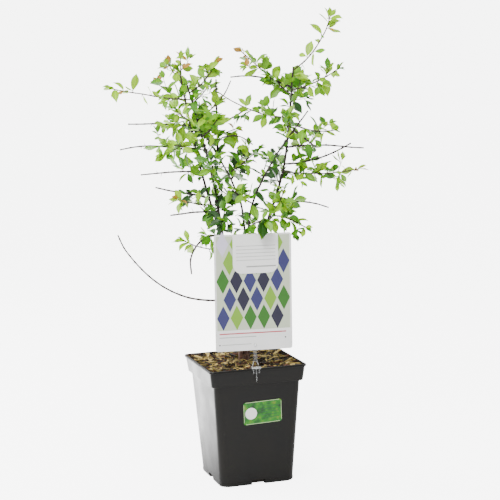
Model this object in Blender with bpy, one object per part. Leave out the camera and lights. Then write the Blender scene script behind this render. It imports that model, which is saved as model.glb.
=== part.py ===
"""A young blackthorn in a square nursery pot.

Five cut stems rise from a short stool in bark mulch and carry leafy sprays and bare twigs. A picture
card stands in front of them on a clear holder that is hooked over the pot's rim, and a sticker is on
the pot's front. Metres, +Z up, the pot's front towards -Y, the origin under the middle of the pot.
"""

import math
import random

import bmesh
import bpy
from mathutils import Matrix, Vector
from mathutils.bvhtree import BVHTree

UP = Vector((0, 0, 1))
GAP = 0.0003

# Pot: half widths of the square at each height, and the radius of its rounded corners
POT_HEIGHT = 0.216
POT_WALL = 0.0016
POT_FLOOR = 0.003
FOOT_HALF = 0.0684
FOOT_BEAD_HEIGHT = 0.007
FOOT_BEAD = 0.0006
SHOULDER_HEIGHT = 0.186
WALL_TOP_HALF = 0.0800
SKIRT_FOOT_HALF = 0.0850
SKIRT_TOP_HALF = 0.0885
LIP_HALF = 0.0900
LIP_HEIGHT = 0.0045
LIP_WALL = 0.0028
FOOT_CORNER = 0.016
RIM_CORNER = 0.008
CORNER_STEPS = 4
DRAIN_WIDTH = 0.025
DRAIN_HEIGHT = 0.0085
DRAIN_DEPTH = 0.012

# Soil and mulch
SOIL_TOP = 0.197
MULCH_EDGE_HALF = 0.0825
MULCH_EDGE_TOP = 0.2110
MULCH_MIDDLE_TOP = 0.2135
MULCH_BUMP = 0.0014
MULCH_HOLE = 0.0185
MULCH_SIDES = 28

# Stool that the stems rise from
STOOL_FLARE_RADIUS = 0.0150
STOOL_RADIUS = 0.0108
STOOL_TOP = 0.223
STOOL_SIDES = 15
ROOT_LOBES = 5
FORK_LENGTH = 0.008
FORK_SINK = 0.006

# Stems: foot and tip radius, then the height, x and y of the few points that each passes through
STEMS = {
    "stem_left_front": (
        (0.0034, 0.0015),
        ((0.330, -0.022, -0.008), (0.445, -0.036, -0.006), (0.550, -0.053, -0.010),
         (0.660, -0.080, -0.013), (0.725, -0.097, -0.013)),
    ),
    "stem_left_rear": (
        (0.0031, 0.0017),
        ((0.330, -0.017, 0.018), (0.435, -0.027, 0.035), (0.530, -0.047, 0.060),
         (0.620, -0.063, 0.077), (0.728, -0.079, 0.092)),
    ),
    "stem_middle": (
        (0.0028, 0.0015),
        ((0.350, 0.010, 0.008), (0.475, 0.008, 0.008), (0.530, -0.005, 0.019),
         (0.580, -0.026, 0.035), (0.623, -0.047, 0.052)),
    ),
    "stem_right_front": (
        (0.0031, 0.0013),
        ((0.350, 0.006, -0.012), (0.475, 0.013, -0.015), (0.540, 0.031, -0.035),
         (0.600, 0.060, -0.060), (0.664, 0.100, -0.093)),
    ),
    "stem_right_rear": (
        (0.0034, 0.0015),
        ((0.330, 0.024, 0.003), (0.445, 0.046, 0.002), (0.525, 0.075, 0.003),
         (0.600, 0.093, 0.005), (0.740, 0.109, 0.008)),
    ),
}
STEM_FEET = {
    "stem_left_front": 205,
    "stem_left_rear": 140,
    "stem_middle": 72,
    "stem_right_rear": 5,
    "stem_right_front": 285,
}
STEM_FOOT_RING = 0.0072
STEM_UPRIGHT = 0.006
STEM_STEPS = 3

# Sprays: stem, height on it, heading and rise where it leaves, length, bend up or down along it,
# the stretch that has leaves, the count of leaves, and the count of side twigs
SPRAYS = (
    ("stem_left_front", 0.688, 175, 2, 0.140, 14, 0.06, 1.0, 13, 1),
    ("stem_left_front", 0.676, 134, 22, 0.083, 16, 0.08, 1.0, 10, 1),
    ("stem_left_rear", 0.722, 165, 40, 0.032, 30, 0.30, 1.0, 4, 0),
    ("stem_left_rear", 0.706, 79, 55, 0.056, 12, 0.10, 1.0, 8, 1),
    ("stem_left_front", 0.700, 322, 28, 0.072, 32, 0.10, 1.0, 9, 1),
    ("stem_left_front", 0.651, 330, 30, 0.092, 35, 0.05, 0.5, 9, 2),
    ("stem_middle", 0.619, 342, 8, 0.052, 8, 0.10, 1.0, 7, 1),
    ("stem_left_front", 0.598, 184, 16, 0.072, -12, 0.05, 1.0, 11, 2),
    ("stem_left_rear", 0.554, 135, 2, 0.128, -8, 0.04, 0.32, 8, 1),
    ("stem_left_front", 0.500, 192, 2, 0.076, 16, 0.10, 1.0, 10, 1),
    ("stem_left_front", 0.419, 184, 2, 0.078, 30, 0.20, 1.0, 7, 0),
    ("stem_left_rear", 0.639, 143, 1, 0.120, 0, 0.04, 0.40, 10, 2),
    ("stem_left_rear", 0.589, 155, 15, 0.142, -24, 0.04, 0.50, 11, 2),
    ("stem_left_rear", 0.507, 147, 10, 0.101, 2, 0.04, 0.40, 9, 2),
    ("stem_left_front", 0.489, 200, 2, 0.098, -6, 0.04, 0.30, 5, 1),
    ("stem_left_front", 0.330, 174, -4, 0.252, 72, 0.0, 0.0, 0, 0),
    ("stem_left_front", 0.445, 190, 12, 0.105, -118, 0.04, 0.20, 3, 0),
    ("stem_left_rear", 0.628, 2, 8, 0.108, 20, 0.04, 0.35, 7, 1),
    ("stem_middle", 0.585, 70, 80, 0.132, 4, 0.0, 0.0, 0, 0),
    ("stem_middle", 0.603, 317, 45, 0.088, -88, 0.06, 0.40, 4, 0),
    ("stem_right_rear", 0.649, 145, 4, 0.143, 34, 0.04, 0.60, 12, 2),
    ("stem_right_rear", 0.690, 175, 40, 0.116, 0, 0.04, 1.0, 13, 2),
    ("stem_right_rear", 0.703, 134, 24, 0.128, -28, 0.04, 0.30, 7, 1),
    ("stem_right_rear", 0.733, 323, 34, 0.118, 38, 0.06, 1.0, 12, 0),
    ("stem_right_rear", 0.698, 6, 8, 0.102, 26, 0.05, 1.0, 13, 2),
    ("stem_right_front", 0.638, 335, -28, 0.064, 40, 0.10, 1.0, 8, 1),
    ("stem_right_front", 0.631, 298, -28, 0.060, -4, 0.0, 0.0, 0, 0),
    ("stem_right_rear", 0.596, 2, 3, 0.148, -12, 0.04, 0.35, 8, 1),
    ("stem_right_rear", 0.552, 331, -4, 0.138, 12, 0.06, 1.0, 15, 2),
    ("stem_right_rear", 0.566, 353, 0, 0.128, 30, 0.04, 0.40, 8, 2),
    ("stem_right_rear", 0.498, 5, 2, 0.108, -22, 0.04, 0.35, 6, 1),
    ("stem_right_rear", 0.476, 303, -2, 0.084, -22, 0.08, 1.0, 10, 1),
    ("stem_right_rear", 0.462, 276, 32, 0.094, 22, 0.08, 1.0, 11, 1),
    ("stem_left_front", 0.545, 250, 30, 0.070, 10, 0.08, 1.0, 13, 3),
    ("stem_left_front", 0.622, 285, 25, 0.055, 15, 0.08, 1.0, 13, 3),
    ("stem_left_rear", 0.605, 65, 25, 0.098, 15, 0.06, 1.0, 15, 3),
    ("stem_left_rear", 0.672, 20, 25, 0.060, 20, 0.08, 1.0, 13, 3),
    ("stem_left_front", 0.642, 215, 20, 0.058, 10, 0.08, 1.0, 13, 3),
    ("stem_left_front", 0.462, 262, 25, 0.060, 10, 0.08, 1.0, 13, 3),
    ("stem_middle", 0.500, 205, 25, 0.062, 10, 0.08, 1.0, 13, 3),
    ("stem_middle", 0.540, 55, 20, 0.105, 15, 0.06, 1.0, 15, 3),
    ("stem_middle", 0.552, 350, 30, 0.070, 10, 0.08, 1.0, 13, 3),
    ("stem_right_front", 0.448, 272, 32, 0.084, -24, 0.25, 1.0, 13, 3),
    ("stem_right_front", 0.500, 215, 25, 0.062, 10, 0.08, 1.0, 13, 3),
    ("stem_right_rear", 0.530, 75, 15, 0.115, 20, 0.06, 1.0, 15, 3),
    ("stem_right_rear", 0.620, 250, 20, 0.062, 15, 0.08, 1.0, 13, 3),
    ("stem_right_rear", 0.672, 62, 25, 0.085, 15, 0.06, 1.0, 14, 3),
)
SEED = 71
TWIG_STEP = 0.026
TWIG_WAVER = 6
TWIG_RADIUS = 0.0011
TWIG_TIP_RADIUS = 0.0007
SIDE_TWIG_RADIUS = 0.0007
SIDE_TWIG_TIP_RADIUS = 0.0005
SIDE_TWIG_LENGTH = 0.030
SIDE_TWIG_LEAVES = 3
SPIRAL = 137.5
TWIG_SPREAD = 52
LEAF_SPREAD = 58
LEAF_LENGTH = 0.031
LEAF_WIDTH = 0.54
LEAF_THICKNESS = 0.022
LEAF_DROOP = 0.10
LEAF_ROLL = 75
LEAF_SINK = 0.0003
LEAF_SIDES = 3
LEAF_OUTLINE = {-1.0: (0.0, 0.0), -0.5: (0.34, 0.82), 0.5: (0.68, 1.0), 1.0: (1.0, 0.0)}
CLEARANCE = 0.0005

# Picture card, its holder and the sticker
CARD_SIZE = (0.138, 0.206)
CARD_THICKNESS = 0.0006
CARD_CORNER = 0.004
CARD_MIDDLE = Vector((-0.0055, -0.0855, 0.3515))
CARD_TURN = -5.0
CARD_LEAN = 0.6
HOLDER_X = -0.005
HOLDER_PEG_HEIGHT = 0.2575
PEG_RADIUS = 0.0012
PEG_HOLE_RADIUS = 0.0017
PEG_HEAD_RADIUS = 0.0025
STICKER_SIZE = (0.071, 0.0415)
STICKER_THICKNESS = 0.0003
STICKER_CORNER = 0.004
STICKER_X = 0.0084
STICKER_HEIGHT = 0.1338
STICKER_TURN = 1.7

# Base colour, roughness and, where it is clear, opacity
COLOURS = {
    "pot_plastic": ((0.030, 0.028, 0.025), 0.42, 1.0),
    "soil": ((0.045, 0.026, 0.013), 0.95, 1.0),
    "mulch": ((0.30, 0.19, 0.08), 0.90, 1.0),
    "bark": ((0.060, 0.036, 0.026), 0.80, 1.0),
    "foliage": ((0.20, 0.42, 0.035), 0.50, 1.0),
    "card": ((0.86, 0.86, 0.85), 0.35, 1.0),
    "clear_plastic": ((0.80, 0.83, 0.83), 0.12, 0.35),
    "sticker": ((0.10, 0.46, 0.06), 0.35, 1.0),
}


def clear_scene():
    """Empties the scene."""
    for item in list(bpy.data.objects):
        bpy.data.objects.remove(item, do_unlink=True)


def make_collection(name):
    """A collection in the scene."""
    group = bpy.data.collections.new(name)
    bpy.context.scene.collection.children.link(group)
    return group


def make_material(slot):
    """The plain material of one slot."""
    colour, roughness, opacity = COLOURS[slot]
    material = bpy.data.materials.new(slot)
    material.use_nodes = True
    shader = material.node_tree.nodes["Principled BSDF"]
    shader.inputs["Base Color"].default_value = (*colour, 1.0)
    shader.inputs["Roughness"].default_value = roughness
    shader.inputs["Metallic"].default_value = 0.0
    shader.inputs["Alpha"].default_value = opacity
    return material


def add_object(name, mesh, slot):
    """An object in the part's collection, with its slot's material."""
    item = bpy.data.objects.new(name, mesh)
    mesh.materials.clear()
    mesh.materials.append(MATERIALS[slot])
    PART.objects.link(item)
    return item


def mesh_from(bm, name):
    """A mesh from an edited one whose faces all point out."""
    bmesh.ops.recalc_face_normals(bm, faces=bm.faces)
    mesh = bpy.data.meshes.new(name)
    bm.to_mesh(mesh)
    bm.free()
    return mesh


def evaluated_mesh(item):
    """The mesh that an object shows once its modifiers or its curve are worked out."""
    graph = bpy.context.evaluated_depsgraph_get()
    return bpy.data.meshes.new_from_object(item.evaluated_get(graph), depsgraph=graph)


def apply_modifiers(item):
    """Replaces an object's mesh with the evaluated one."""
    mesh = evaluated_mesh(item)
    item.modifiers.clear()
    item.data = mesh


def shade_round(mesh, angle=40):
    """Smooth shading with sharp edges past an angle."""
    mesh.shade_smooth()
    mesh.set_sharp_from_angle(angle=math.radians(angle))


def add_guide(name, mesh):
    """A hidden object that others are cut or joined with."""
    item = bpy.data.objects.new(name, mesh)
    item.hide_render = True
    item.display_type = "WIRE"
    GUIDES.objects.link(item)
    return item


def cut(item, cutters):
    """Takes each cutter away from an object."""
    for cutter in cutters:
        modifier = item.modifiers.new("cut", "BOOLEAN")
        modifier.operation = "DIFFERENCE"
        modifier.solver = "EXACT"
        modifier.object = cutter


def join(item, meshes):
    """Joins meshes to an object with one union, and keeps its largest piece."""
    group = bpy.data.collections.new("joining")
    bpy.context.scene.collection.children.link(group)
    for mesh in meshes:
        group.objects.link(bpy.data.objects.new("joined", mesh))
    modifier = item.modifiers.new("union", "BOOLEAN")
    modifier.operation = "UNION"
    modifier.solver = "EXACT"
    modifier.operand_type = "COLLECTION"
    modifier.collection = group
    apply_modifiers(item)
    for joined in list(group.objects):
        bpy.data.objects.remove(joined, do_unlink=True)
    bpy.data.collections.remove(group)
    drop_scraps(item.data)


def drop_scraps(mesh):
    """Leaves only the largest connected piece of a mesh."""
    bm = bmesh.new()
    bm.from_mesh(mesh)
    unseen = set(bm.verts)
    largest = set()
    while unseen:
        island = {unseen.pop()}
        front = list(island)
        while front:
            vertex = front.pop()
            for edge in vertex.link_edges:
                other = edge.other_vert(vertex)
                if other in unseen:
                    unseen.discard(other)
                    island.add(other)
                    front.append(other)
        if len(island) > len(largest):
            largest = island
    scraps = [vertex for vertex in bm.verts if vertex not in largest]
    bmesh.ops.delete(bm, geom=scraps, context="VERTS")
    bm.to_mesh(mesh)
    bm.free()


def box_mesh(size, middle):
    """A box with its size and its middle."""
    bm = bmesh.new()
    bmesh.ops.create_cube(bm, matrix=Matrix.Translation(middle) @ Matrix.Diagonal((*size, 1)))
    return mesh_from(bm, "box")


def rod_mesh(radius, start, end, sides=16):
    """A straight round rod between two points."""
    bm = bmesh.new()
    run = end - start
    place = Matrix.Translation((start + end) / 2) @ run.to_track_quat("Z", "Y").to_matrix().to_4x4()
    bmesh.ops.create_cone(bm, cap_ends=True, segments=sides, radius1=radius, radius2=radius,
                          depth=run.length, matrix=place)
    return mesh_from(bm, "rod")


def loft(name, rings, hollow=False):
    """A skin over rings of equally many points, capped at both ends, or closed on itself."""
    bm = bmesh.new()
    loops = [[bm.verts.new(point) for point in ring] for ring in rings]
    pairs = list(zip(loops, loops[1:]))
    if hollow:
        pairs.append((loops[-1], loops[0]))
    else:
        bm.faces.new(loops[0])
        bm.faces.new(loops[-1])
    for lower, upper in pairs:
        for side in range(len(lower)):
            after = (side + 1) % len(lower)
            bm.faces.new((lower[side], lower[after], upper[after], upper[side]))
    return mesh_from(bm, name)


def square_ring(half, corner, height):
    """Points round a square with rounded corners."""
    points = []
    for quarter in range(4):
        to_corner = Matrix.Rotation(math.radians(90 * quarter), 3, "Z") @ Vector((1, 1, 0))
        for step in range(CORNER_STEPS + 1):
            angle = math.radians(90 * (quarter + step / CORNER_STEPS))
            outward = Vector((math.cos(angle), math.sin(angle), 0))
            points.append(to_corner * (half - corner) + outward * corner + UP * height)
    return points


def mixed_ring(half, squareness, height, bump, rng):
    """Points round a form between a circle, squareness 2, and a square, with uneven heights."""
    points = []
    for side in range(MULCH_SIDES):
        angle = math.tau * (side + 0.5) / MULCH_SIDES
        across, along = math.cos(angle), math.sin(angle)
        reach = half / (abs(across) ** squareness + abs(along) ** squareness) ** (1 / squareness)
        lift = rng.uniform(-bump, bump)
        points.append(Vector((across * reach, along * reach, height + lift)))
    return points


def rounded_sheet(size, thickness, corner):
    """A thin upright sheet with rounded corners, its front towards -Y."""
    curve = bpy.data.curves.new("outline", "CURVE")
    curve.dimensions = "2D"
    curve.fill_mode = "BOTH"
    curve.extrude = thickness / 2
    half_width, half_height = size[0] / 2, size[1] / 2
    points = []
    for quarter in range(4):
        across = 1 if quarter in (0, 3) else -1
        upward = 1 if quarter in (0, 1) else -1
        for step in range(CORNER_STEPS + 1):
            angle = math.radians(90 * (quarter + step / CORNER_STEPS))
            points.append((across * (half_width - corner) + corner * math.cos(angle),
                           upward * (half_height - corner) + corner * math.sin(angle)))
    spline = curve.splines.new("POLY")
    spline.points.add(len(points) - 1)
    for point, (across, upward) in zip(spline.points, points):
        point.co = (across, upward, 0, 1)
    spline.use_cyclic_u = True
    mesh = mesh_of_curve(curve)
    mesh.transform(Matrix.Rotation(math.radians(90), 4, "X"))
    return mesh


def mesh_of_curve(curve):
    """The mesh of a curve, with its caps welded on."""
    item = bpy.data.objects.new("curve", curve)
    GUIDES.objects.link(item)
    bpy.context.view_layer.update()
    mesh = evaluated_mesh(item)
    bpy.data.objects.remove(item, do_unlink=True)
    bpy.data.curves.remove(curve)
    bm = bmesh.new()
    bm.from_mesh(mesh)
    bmesh.ops.remove_doubles(bm, verts=bm.verts, dist=0.00001)
    bpy.data.meshes.remove(mesh)
    return mesh_from(bm, "from_curve")


def tube_mesh(points, radii, section=None):
    """A tapering limb along its points: eight-sided, or with the section of a guide curve."""
    curve = bpy.data.curves.new("limb", "CURVE")
    curve.dimensions = "3D"
    curve.use_fill_caps = True
    if section is None:
        curve.bevel_depth = 1.0
        curve.bevel_resolution = 2
    else:
        curve.bevel_mode = "OBJECT"
        curve.bevel_object = section
    spline = curve.splines.new("POLY")
    spline.points.add(len(points) - 1)
    for knot, point, radius in zip(spline.points, points, radii):
        knot.co = (*point, 1)
        knot.radius = radius
    return mesh_of_curve(curve)


def three_sided_section():
    """A guide curve: the triangle that a twig is drawn along."""
    curve = bpy.data.curves.new("twig_section", "CURVE")
    curve.dimensions = "2D"
    spline = curve.splines.new("POLY")
    spline.points.add(2)
    for corner, point in enumerate(spline.points):
        angle = math.radians(90 + 120 * corner)
        point.co = (math.cos(angle), math.sin(angle), 0, 1)
    spline.use_cyclic_u = True
    item = bpy.data.objects.new("twig_section", curve)
    item.hide_render = True
    GUIDES.objects.link(item)
    return item


def wall_half(height):
    """The half width of the pot's outer wall under the skirt."""
    return FOOT_HALF + (WALL_TOP_HALF - FOOT_HALF) * height / SHOULDER_HEIGHT


def make_pot():
    """The pot: a tapering square wall on a floor, with a wide rim skirt and a lip round its top."""
    lip_foot = POT_HEIGHT - LIP_HEIGHT
    bead_top = FOOT_BEAD_HEIGHT + 2 * FOOT_BEAD
    outside = (
        (FOOT_HALF - 0.0015, 0.0),
        (FOOT_HALF + FOOT_BEAD, 0.0012),
        (wall_half(FOOT_BEAD_HEIGHT) + FOOT_BEAD, FOOT_BEAD_HEIGHT),
        (wall_half(bead_top), bead_top),
        (WALL_TOP_HALF, SHOULDER_HEIGHT),
        (SKIRT_FOOT_HALF, SHOULDER_HEIGHT),
        (SKIRT_TOP_HALF, lip_foot),
        (LIP_HALF - 0.0004, lip_foot),
        (LIP_HALF, POT_HEIGHT - 0.0008),
        (LIP_HALF - 0.0008, POT_HEIGHT),
    )
    inside = (
        (LIP_HALF - LIP_WALL, POT_HEIGHT),
        (SKIRT_TOP_HALF - POT_WALL, lip_foot - 0.001),
        (SKIRT_FOOT_HALF - POT_WALL, SHOULDER_HEIGHT + POT_WALL),
        (WALL_TOP_HALF - POT_WALL, SHOULDER_HEIGHT + POT_WALL - 0.0004),
        (wall_half(POT_FLOOR) - POT_WALL, POT_FLOOR),
    )
    rings = []
    for profile, thinner in ((outside, 0.0), (inside, POT_WALL)):
        for half, height in profile:
            corner = FOOT_CORNER + (RIM_CORNER - FOOT_CORNER) * height / POT_HEIGHT - thinner
            rings.append(square_ring(half, corner, height))
    pot = add_object("pot", loft("pot", rings), "pot_plastic")
    cutters = []
    for side in range(4):
        size = (DRAIN_WIDTH, 2 * DRAIN_DEPTH, 2 * DRAIN_HEIGHT)
        mesh = box_mesh(size, Vector((0, -FOOT_HALF, 0)))
        mesh.transform(Matrix.Rotation(math.radians(90 * side), 4, "Z"))
        cutters.append(add_guide(f"drain_cutter_{side}", mesh))
    cut(pot, cutters)
    apply_modifiers(pot)
    shade_round(pot.data)
    return pot


def make_soil():
    """The block of soil that fills the pot."""
    foot = POT_FLOOR + GAP
    rings = []
    for height, wall_height in ((foot, foot), (SHOULDER_HEIGHT, SHOULDER_HEIGHT), (SOIL_TOP, SHOULDER_HEIGHT)):
        half = wall_half(wall_height) - POT_WALL - GAP
        corner = FOOT_CORNER + (RIM_CORNER - FOOT_CORNER) * wall_height / POT_HEIGHT - POT_WALL - GAP
        rings.append(square_ring(half, corner, height))
    return add_object("soil", loft("soil", rings), "soil")


def make_mulch():
    """The uneven layer of bark mulch, with room for the stool in its middle."""
    rng = random.Random(SEED)
    foot = SOIL_TOP + GAP
    inner = WALL_TOP_HALF - POT_WALL - GAP
    rows = (
        (MULCH_HOLE, 2, foot, 0),
        (inner, 9, foot, 0),
        (MULCH_EDGE_HALF, 9, foot + 0.005, 0),
        (MULCH_EDGE_HALF - 0.001, 9, MULCH_EDGE_TOP, MULCH_BUMP),
        (0.068, 7, (MULCH_EDGE_TOP + MULCH_MIDDLE_TOP) / 2, MULCH_BUMP),
        (0.050, 4, MULCH_MIDDLE_TOP, MULCH_BUMP),
        (0.033, 3, MULCH_MIDDLE_TOP, MULCH_BUMP),
        (MULCH_HOLE + 0.001, 2, MULCH_MIDDLE_TOP - 0.001, MULCH_BUMP / 2),
    )
    rings = [mixed_ring(half, squareness, height, bump, rng) for half, squareness, height, bump in rows]
    return add_object("mulch", loft("mulch", rings, hollow=True), "mulch")


def stem_foot(name):
    """The point on the stool where a stem starts."""
    angle = math.radians(STEM_FEET[name])
    return Vector((STEM_FOOT_RING * math.cos(angle), STEM_FOOT_RING * math.sin(angle), STOOL_TOP))


def stem_line(name):
    """A smooth line through a stem's points, upright at its foot, to its cut tip."""
    _, knots = STEMS[name]
    foot = stem_foot(name) + UP * (FORK_LENGTH + GAP)
    points = [foot + UP * STEM_UPRIGHT] + [Vector((x, y, height)) for height, x, y in knots]
    below = points[1] - UP * 1.8 * (points[1] - points[0]).length
    ends = [below, *points, 2 * points[-1] - points[-2]]
    line = [foot]
    for before, start, end, after in zip(ends, ends[1:], ends[2:], ends[3:]):
        tangent_start = (end - before) / 2
        tangent_end = (after - start) / 2
        for step in range(STEM_STEPS):
            t = step / STEM_STEPS
            line.append((2 * t ** 3 - 3 * t ** 2 + 1) * start + (t ** 3 - 2 * t ** 2 + t) * tangent_start
                        + (3 * t ** 2 - 2 * t ** 3) * end + (t ** 3 - t ** 2) * tangent_end)
    return line + [points[-1]]


def stem_radius(name, height):
    """A stem's radius at a height: it tapers evenly from foot to tip."""
    (foot_radius, tip_radius), knots = STEMS[name]
    share = (height - STOOL_TOP) / (knots[-1][0] - STOOL_TOP)
    return foot_radius + (tip_radius - foot_radius) * share


def make_stems():
    """The five stems, each one whole tapering limb."""
    stems = []
    for name in STEMS:
        line = LINES[name]
        mesh = tube_mesh(line, [stem_radius(name, point.z) for point in line])
        shade_round(mesh, 60)
        stems.append(add_object(name, mesh, "bark"))
    return stems


def make_stool():
    """The short stool: root flare at the soil, and a stub for each stem at its fork."""
    foot = SOIL_TOP + GAP
    rows = ((foot, STOOL_FLARE_RADIUS, 0.16), (foot + 0.004, 0.0128, 0.12), (foot + 0.010, STOOL_RADIUS, 0.07),
            (STOOL_TOP - 0.006, STOOL_RADIUS * 0.97, 0.04), (STOOL_TOP, STOOL_RADIUS * 0.86, 0.02))
    rings = []
    for height, radius, lobe in rows:
        ring = []
        for side in range(STOOL_SIDES):
            angle = math.tau * side / STOOL_SIDES
            reach = radius * (1 + lobe * math.cos(ROOT_LOBES * angle))
            ring.append(Vector((reach * math.cos(angle), reach * math.sin(angle), height)))
        rings.append(ring)
    stool = add_object("trunk", loft("trunk", rings), "bark")
    stubs = []
    for name in STEMS:
        start = stem_foot(name) - UP * FORK_SINK
        end = stem_foot(name) + UP * FORK_LENGTH
        stubs.append(rod_mesh(stem_radius(name, STOOL_TOP), start, end, sides=8))
    join(stool, stubs)
    shade_round(stool.data, 50)
    return stool


def card_place():
    """The picture card's place: turned a little and leaning to the right."""
    turn = Matrix.Rotation(math.radians(CARD_TURN), 4, "Z")
    lean = Matrix.Rotation(math.radians(CARD_LEAN), 4, "Y")
    return Matrix.Translation(CARD_MIDDLE) @ turn @ lean


def card_depth(x):
    """The y of the card's middle plane at an x."""
    return CARD_MIDDLE.y + (x - CARD_MIDDLE.x) * math.tan(math.radians(CARD_TURN))


def make_card():
    """The picture card, with a hole for the holder's peg."""
    mesh = rounded_sheet(CARD_SIZE, CARD_THICKNESS, CARD_CORNER)
    mesh.transform(card_place())
    card = add_object("label_card", mesh, "card")
    depth = card_depth(HOLDER_X)
    hole = rod_mesh(PEG_HOLE_RADIUS, Vector((HOLDER_X, depth - 0.01, HOLDER_PEG_HEIGHT)),
                    Vector((HOLDER_X, depth + 0.01, HOLDER_PEG_HEIGHT)))
    cut(card, [add_guide("peg_hole_cutter", hole)])
    apply_modifiers(card)
    return card


def make_holder():
    """The clear holder: a saddle over the rim with legs, struts up to a tongue, and a peg."""
    sheet = 0.0012
    card_back = card_depth(HOLDER_X) + CARD_THICKNESS / 2
    tongue_front = card_back + 0.0007
    tongue_back = tongue_front + sheet
    tongue_y = (tongue_front + tongue_back) / 2
    outer_front = -LIP_HALF - GAP - sheet
    inner_back = -SKIRT_TOP_HALF + POT_WALL + 3 * GAP + sheet
    saddle_foot = POT_HEIGHT + GAP
    saddle_top = saddle_foot + 0.0018
    saddle_back = max(inner_back, tongue_back)
    saddle = box_mesh((0.0166, saddle_back - outer_front, saddle_top - saddle_foot),
                      Vector((HOLDER_X, (saddle_back + outer_front) / 2, (saddle_top + saddle_foot) / 2)))
    pieces = []
    tongue_foot = saddle_top + 0.010
    tongue_top = 0.292
    pieces.append(box_mesh((0.007, sheet, tongue_top - tongue_foot),
                           Vector((HOLDER_X, tongue_y, (tongue_top + tongue_foot) / 2))))
    for side in (-1, 1):
        low = Vector((HOLDER_X + side * 0.0070, tongue_y, saddle_foot + 0.0013))
        high = Vector((HOLDER_X + side * 0.0024, tongue_y, tongue_foot + 0.002))
        pieces.append(rod_mesh(0.0009, low, high, sides=6))
        for front, foot in ((outer_front, 0.2070), (inner_back - sheet, 0.2100)):
            middle = Vector((HOLDER_X + side * 0.0053, front + sheet / 2, (foot + saddle_top) / 2 - 0.0004))
            pieces.append(box_mesh((0.0024, sheet, saddle_top - foot - 0.0008), middle))
    leg_foot = 0.192
    pieces.append(box_mesh((0.0022, sheet, saddle_top - leg_foot - 0.0008),
                           Vector((HOLDER_X, outer_front + sheet / 2, (leg_foot + saddle_top) / 2 - 0.0004))))
    head_back = card_back - CARD_THICKNESS - 0.0005
    pieces.append(rod_mesh(PEG_RADIUS, Vector((HOLDER_X, tongue_y, HOLDER_PEG_HEIGHT)),
                           Vector((HOLDER_X, head_back - 0.0004, HOLDER_PEG_HEIGHT)), sides=12))
    pieces.append(rod_mesh(PEG_HEAD_RADIUS, Vector((HOLDER_X, head_back, HOLDER_PEG_HEIGHT)),
                           Vector((HOLDER_X, head_back - 0.0008, HOLDER_PEG_HEIGHT)), sides=12))
    holder = add_object("label_holder", saddle, "clear_plastic")
    join(holder, pieces)
    return holder


def make_sticker():
    """The sticker on the pot's front, lying on its sloping wall."""
    slope = math.atan((WALL_TOP_HALF - FOOT_HALF) / SHOULDER_HEIGHT)
    mesh = rounded_sheet(STICKER_SIZE, STICKER_THICKNESS, STICKER_CORNER)
    off_wall = (GAP + STICKER_THICKNESS / 2) / math.cos(slope)
    place = Matrix.Translation((STICKER_X, -wall_half(STICKER_HEIGHT) - off_wall, STICKER_HEIGHT))
    mesh.transform(place @ Matrix.Rotation(slope, 4, "X")
                   @ Matrix.Rotation(-math.radians(STICKER_TURN), 4, "Y"))
    return add_object("pot_sticker", mesh, "sticker")


def aim(heading, rise):
    """The unit vector along a heading, anticlockwise from +X, and up by a rise, in degrees."""
    turn, lift = math.radians(heading), math.radians(rise)
    return Vector((math.cos(lift) * math.cos(turn), math.cos(lift) * math.sin(turn), math.sin(lift)))


def grow_line(start, heading, rise, length, bend, rng):
    """The points of a twig: it bends evenly along its length and wavers at each step."""
    count = max(2, round(length / TWIG_STEP))
    line = [start]
    for number in range(count):
        turn = heading + rng.uniform(-TWIG_WAVER, TWIG_WAVER)
        lift = rise + bend * (number + 0.5) / count + rng.uniform(-TWIG_WAVER, TWIG_WAVER) / 2
        line.append(line[-1] + aim(turn, lift) * length / count)
    return line


def point_along(line, share):
    """The point and the direction at a share of a line's length."""
    lengths = [(end - start).length for start, end in zip(line, line[1:])]
    left = share * sum(lengths)
    for start, end, length in zip(line, line[1:], lengths):
        if left <= length:
            break
        left -= length
    way = (end - start).normalized()
    return start + way * min(left, length), way


def square_to(way, turn):
    """A unit vector square to a direction, turned about it from its upper side, in degrees."""
    side = way.cross(UP)
    side = side.normalized() if side.length > 0.1 else Vector((1, 0, 0))
    upper = side.cross(way).normalized()
    return upper * math.cos(math.radians(turn)) + side * math.sin(math.radians(turn))


def twig_mesh(line, radius, tip_radius):
    """A three-sided twig that tapers along its line."""
    last = len(line) - 1
    radii = [radius + (tip_radius - radius) * number / last for number in range(len(line))]
    return tube_mesh(line, radii, SECTION)


def leaf_mesh(root, way, face, length, grow=0.0):
    """A blade from its root along a direction, its upper side towards face, made larger by grow."""
    bm = bmesh.new()
    bmesh.ops.create_uvsphere(bm, u_segments=LEAF_SIDES, v_segments=3, radius=1)
    side = face.cross(way).normalized()
    upper = way.cross(side)
    half_width = length * LEAF_WIDTH / 2 + grow
    thickness = length * LEAF_THICKNESS + 2 * grow
    for vertex in bm.verts:
        share, fullness = LEAF_OUTLINE[round(vertex.co.z, 1)]
        ring = math.hypot(vertex.co.x, vertex.co.y) or 1
        across = vertex.co.y / ring / math.sin(math.tau / LEAF_SIDES) * half_width * fullness
        keel = -vertex.co.x / ring * thickness * fullness / 1.5
        forward = share * length + grow * (1 if share == 1 else 0)
        droop = LEAF_DROOP * length * share ** 2
        vertex.co = root + way * forward + side * across + upper * (keel - droop)
    return mesh_from(bm, "leaf")


def leaf_face(way, roll):
    """The direction of a leaf's upper side: the sky, turned about the leaf by its roll."""
    return square_to(way, roll)


def tree_of(mesh):
    """A search tree over a mesh's faces."""
    return BVHTree.FromPolygons([v.co[:] for v in mesh.vertices], [p.vertices[:] for p in mesh.polygons])


def middle_and_reach(mesh):
    """A sphere that holds a mesh."""
    points = [vertex.co for vertex in mesh.vertices]
    middle = sum(points, Vector()) / len(points)
    return middle, max((point - middle).length for point in points)


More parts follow.
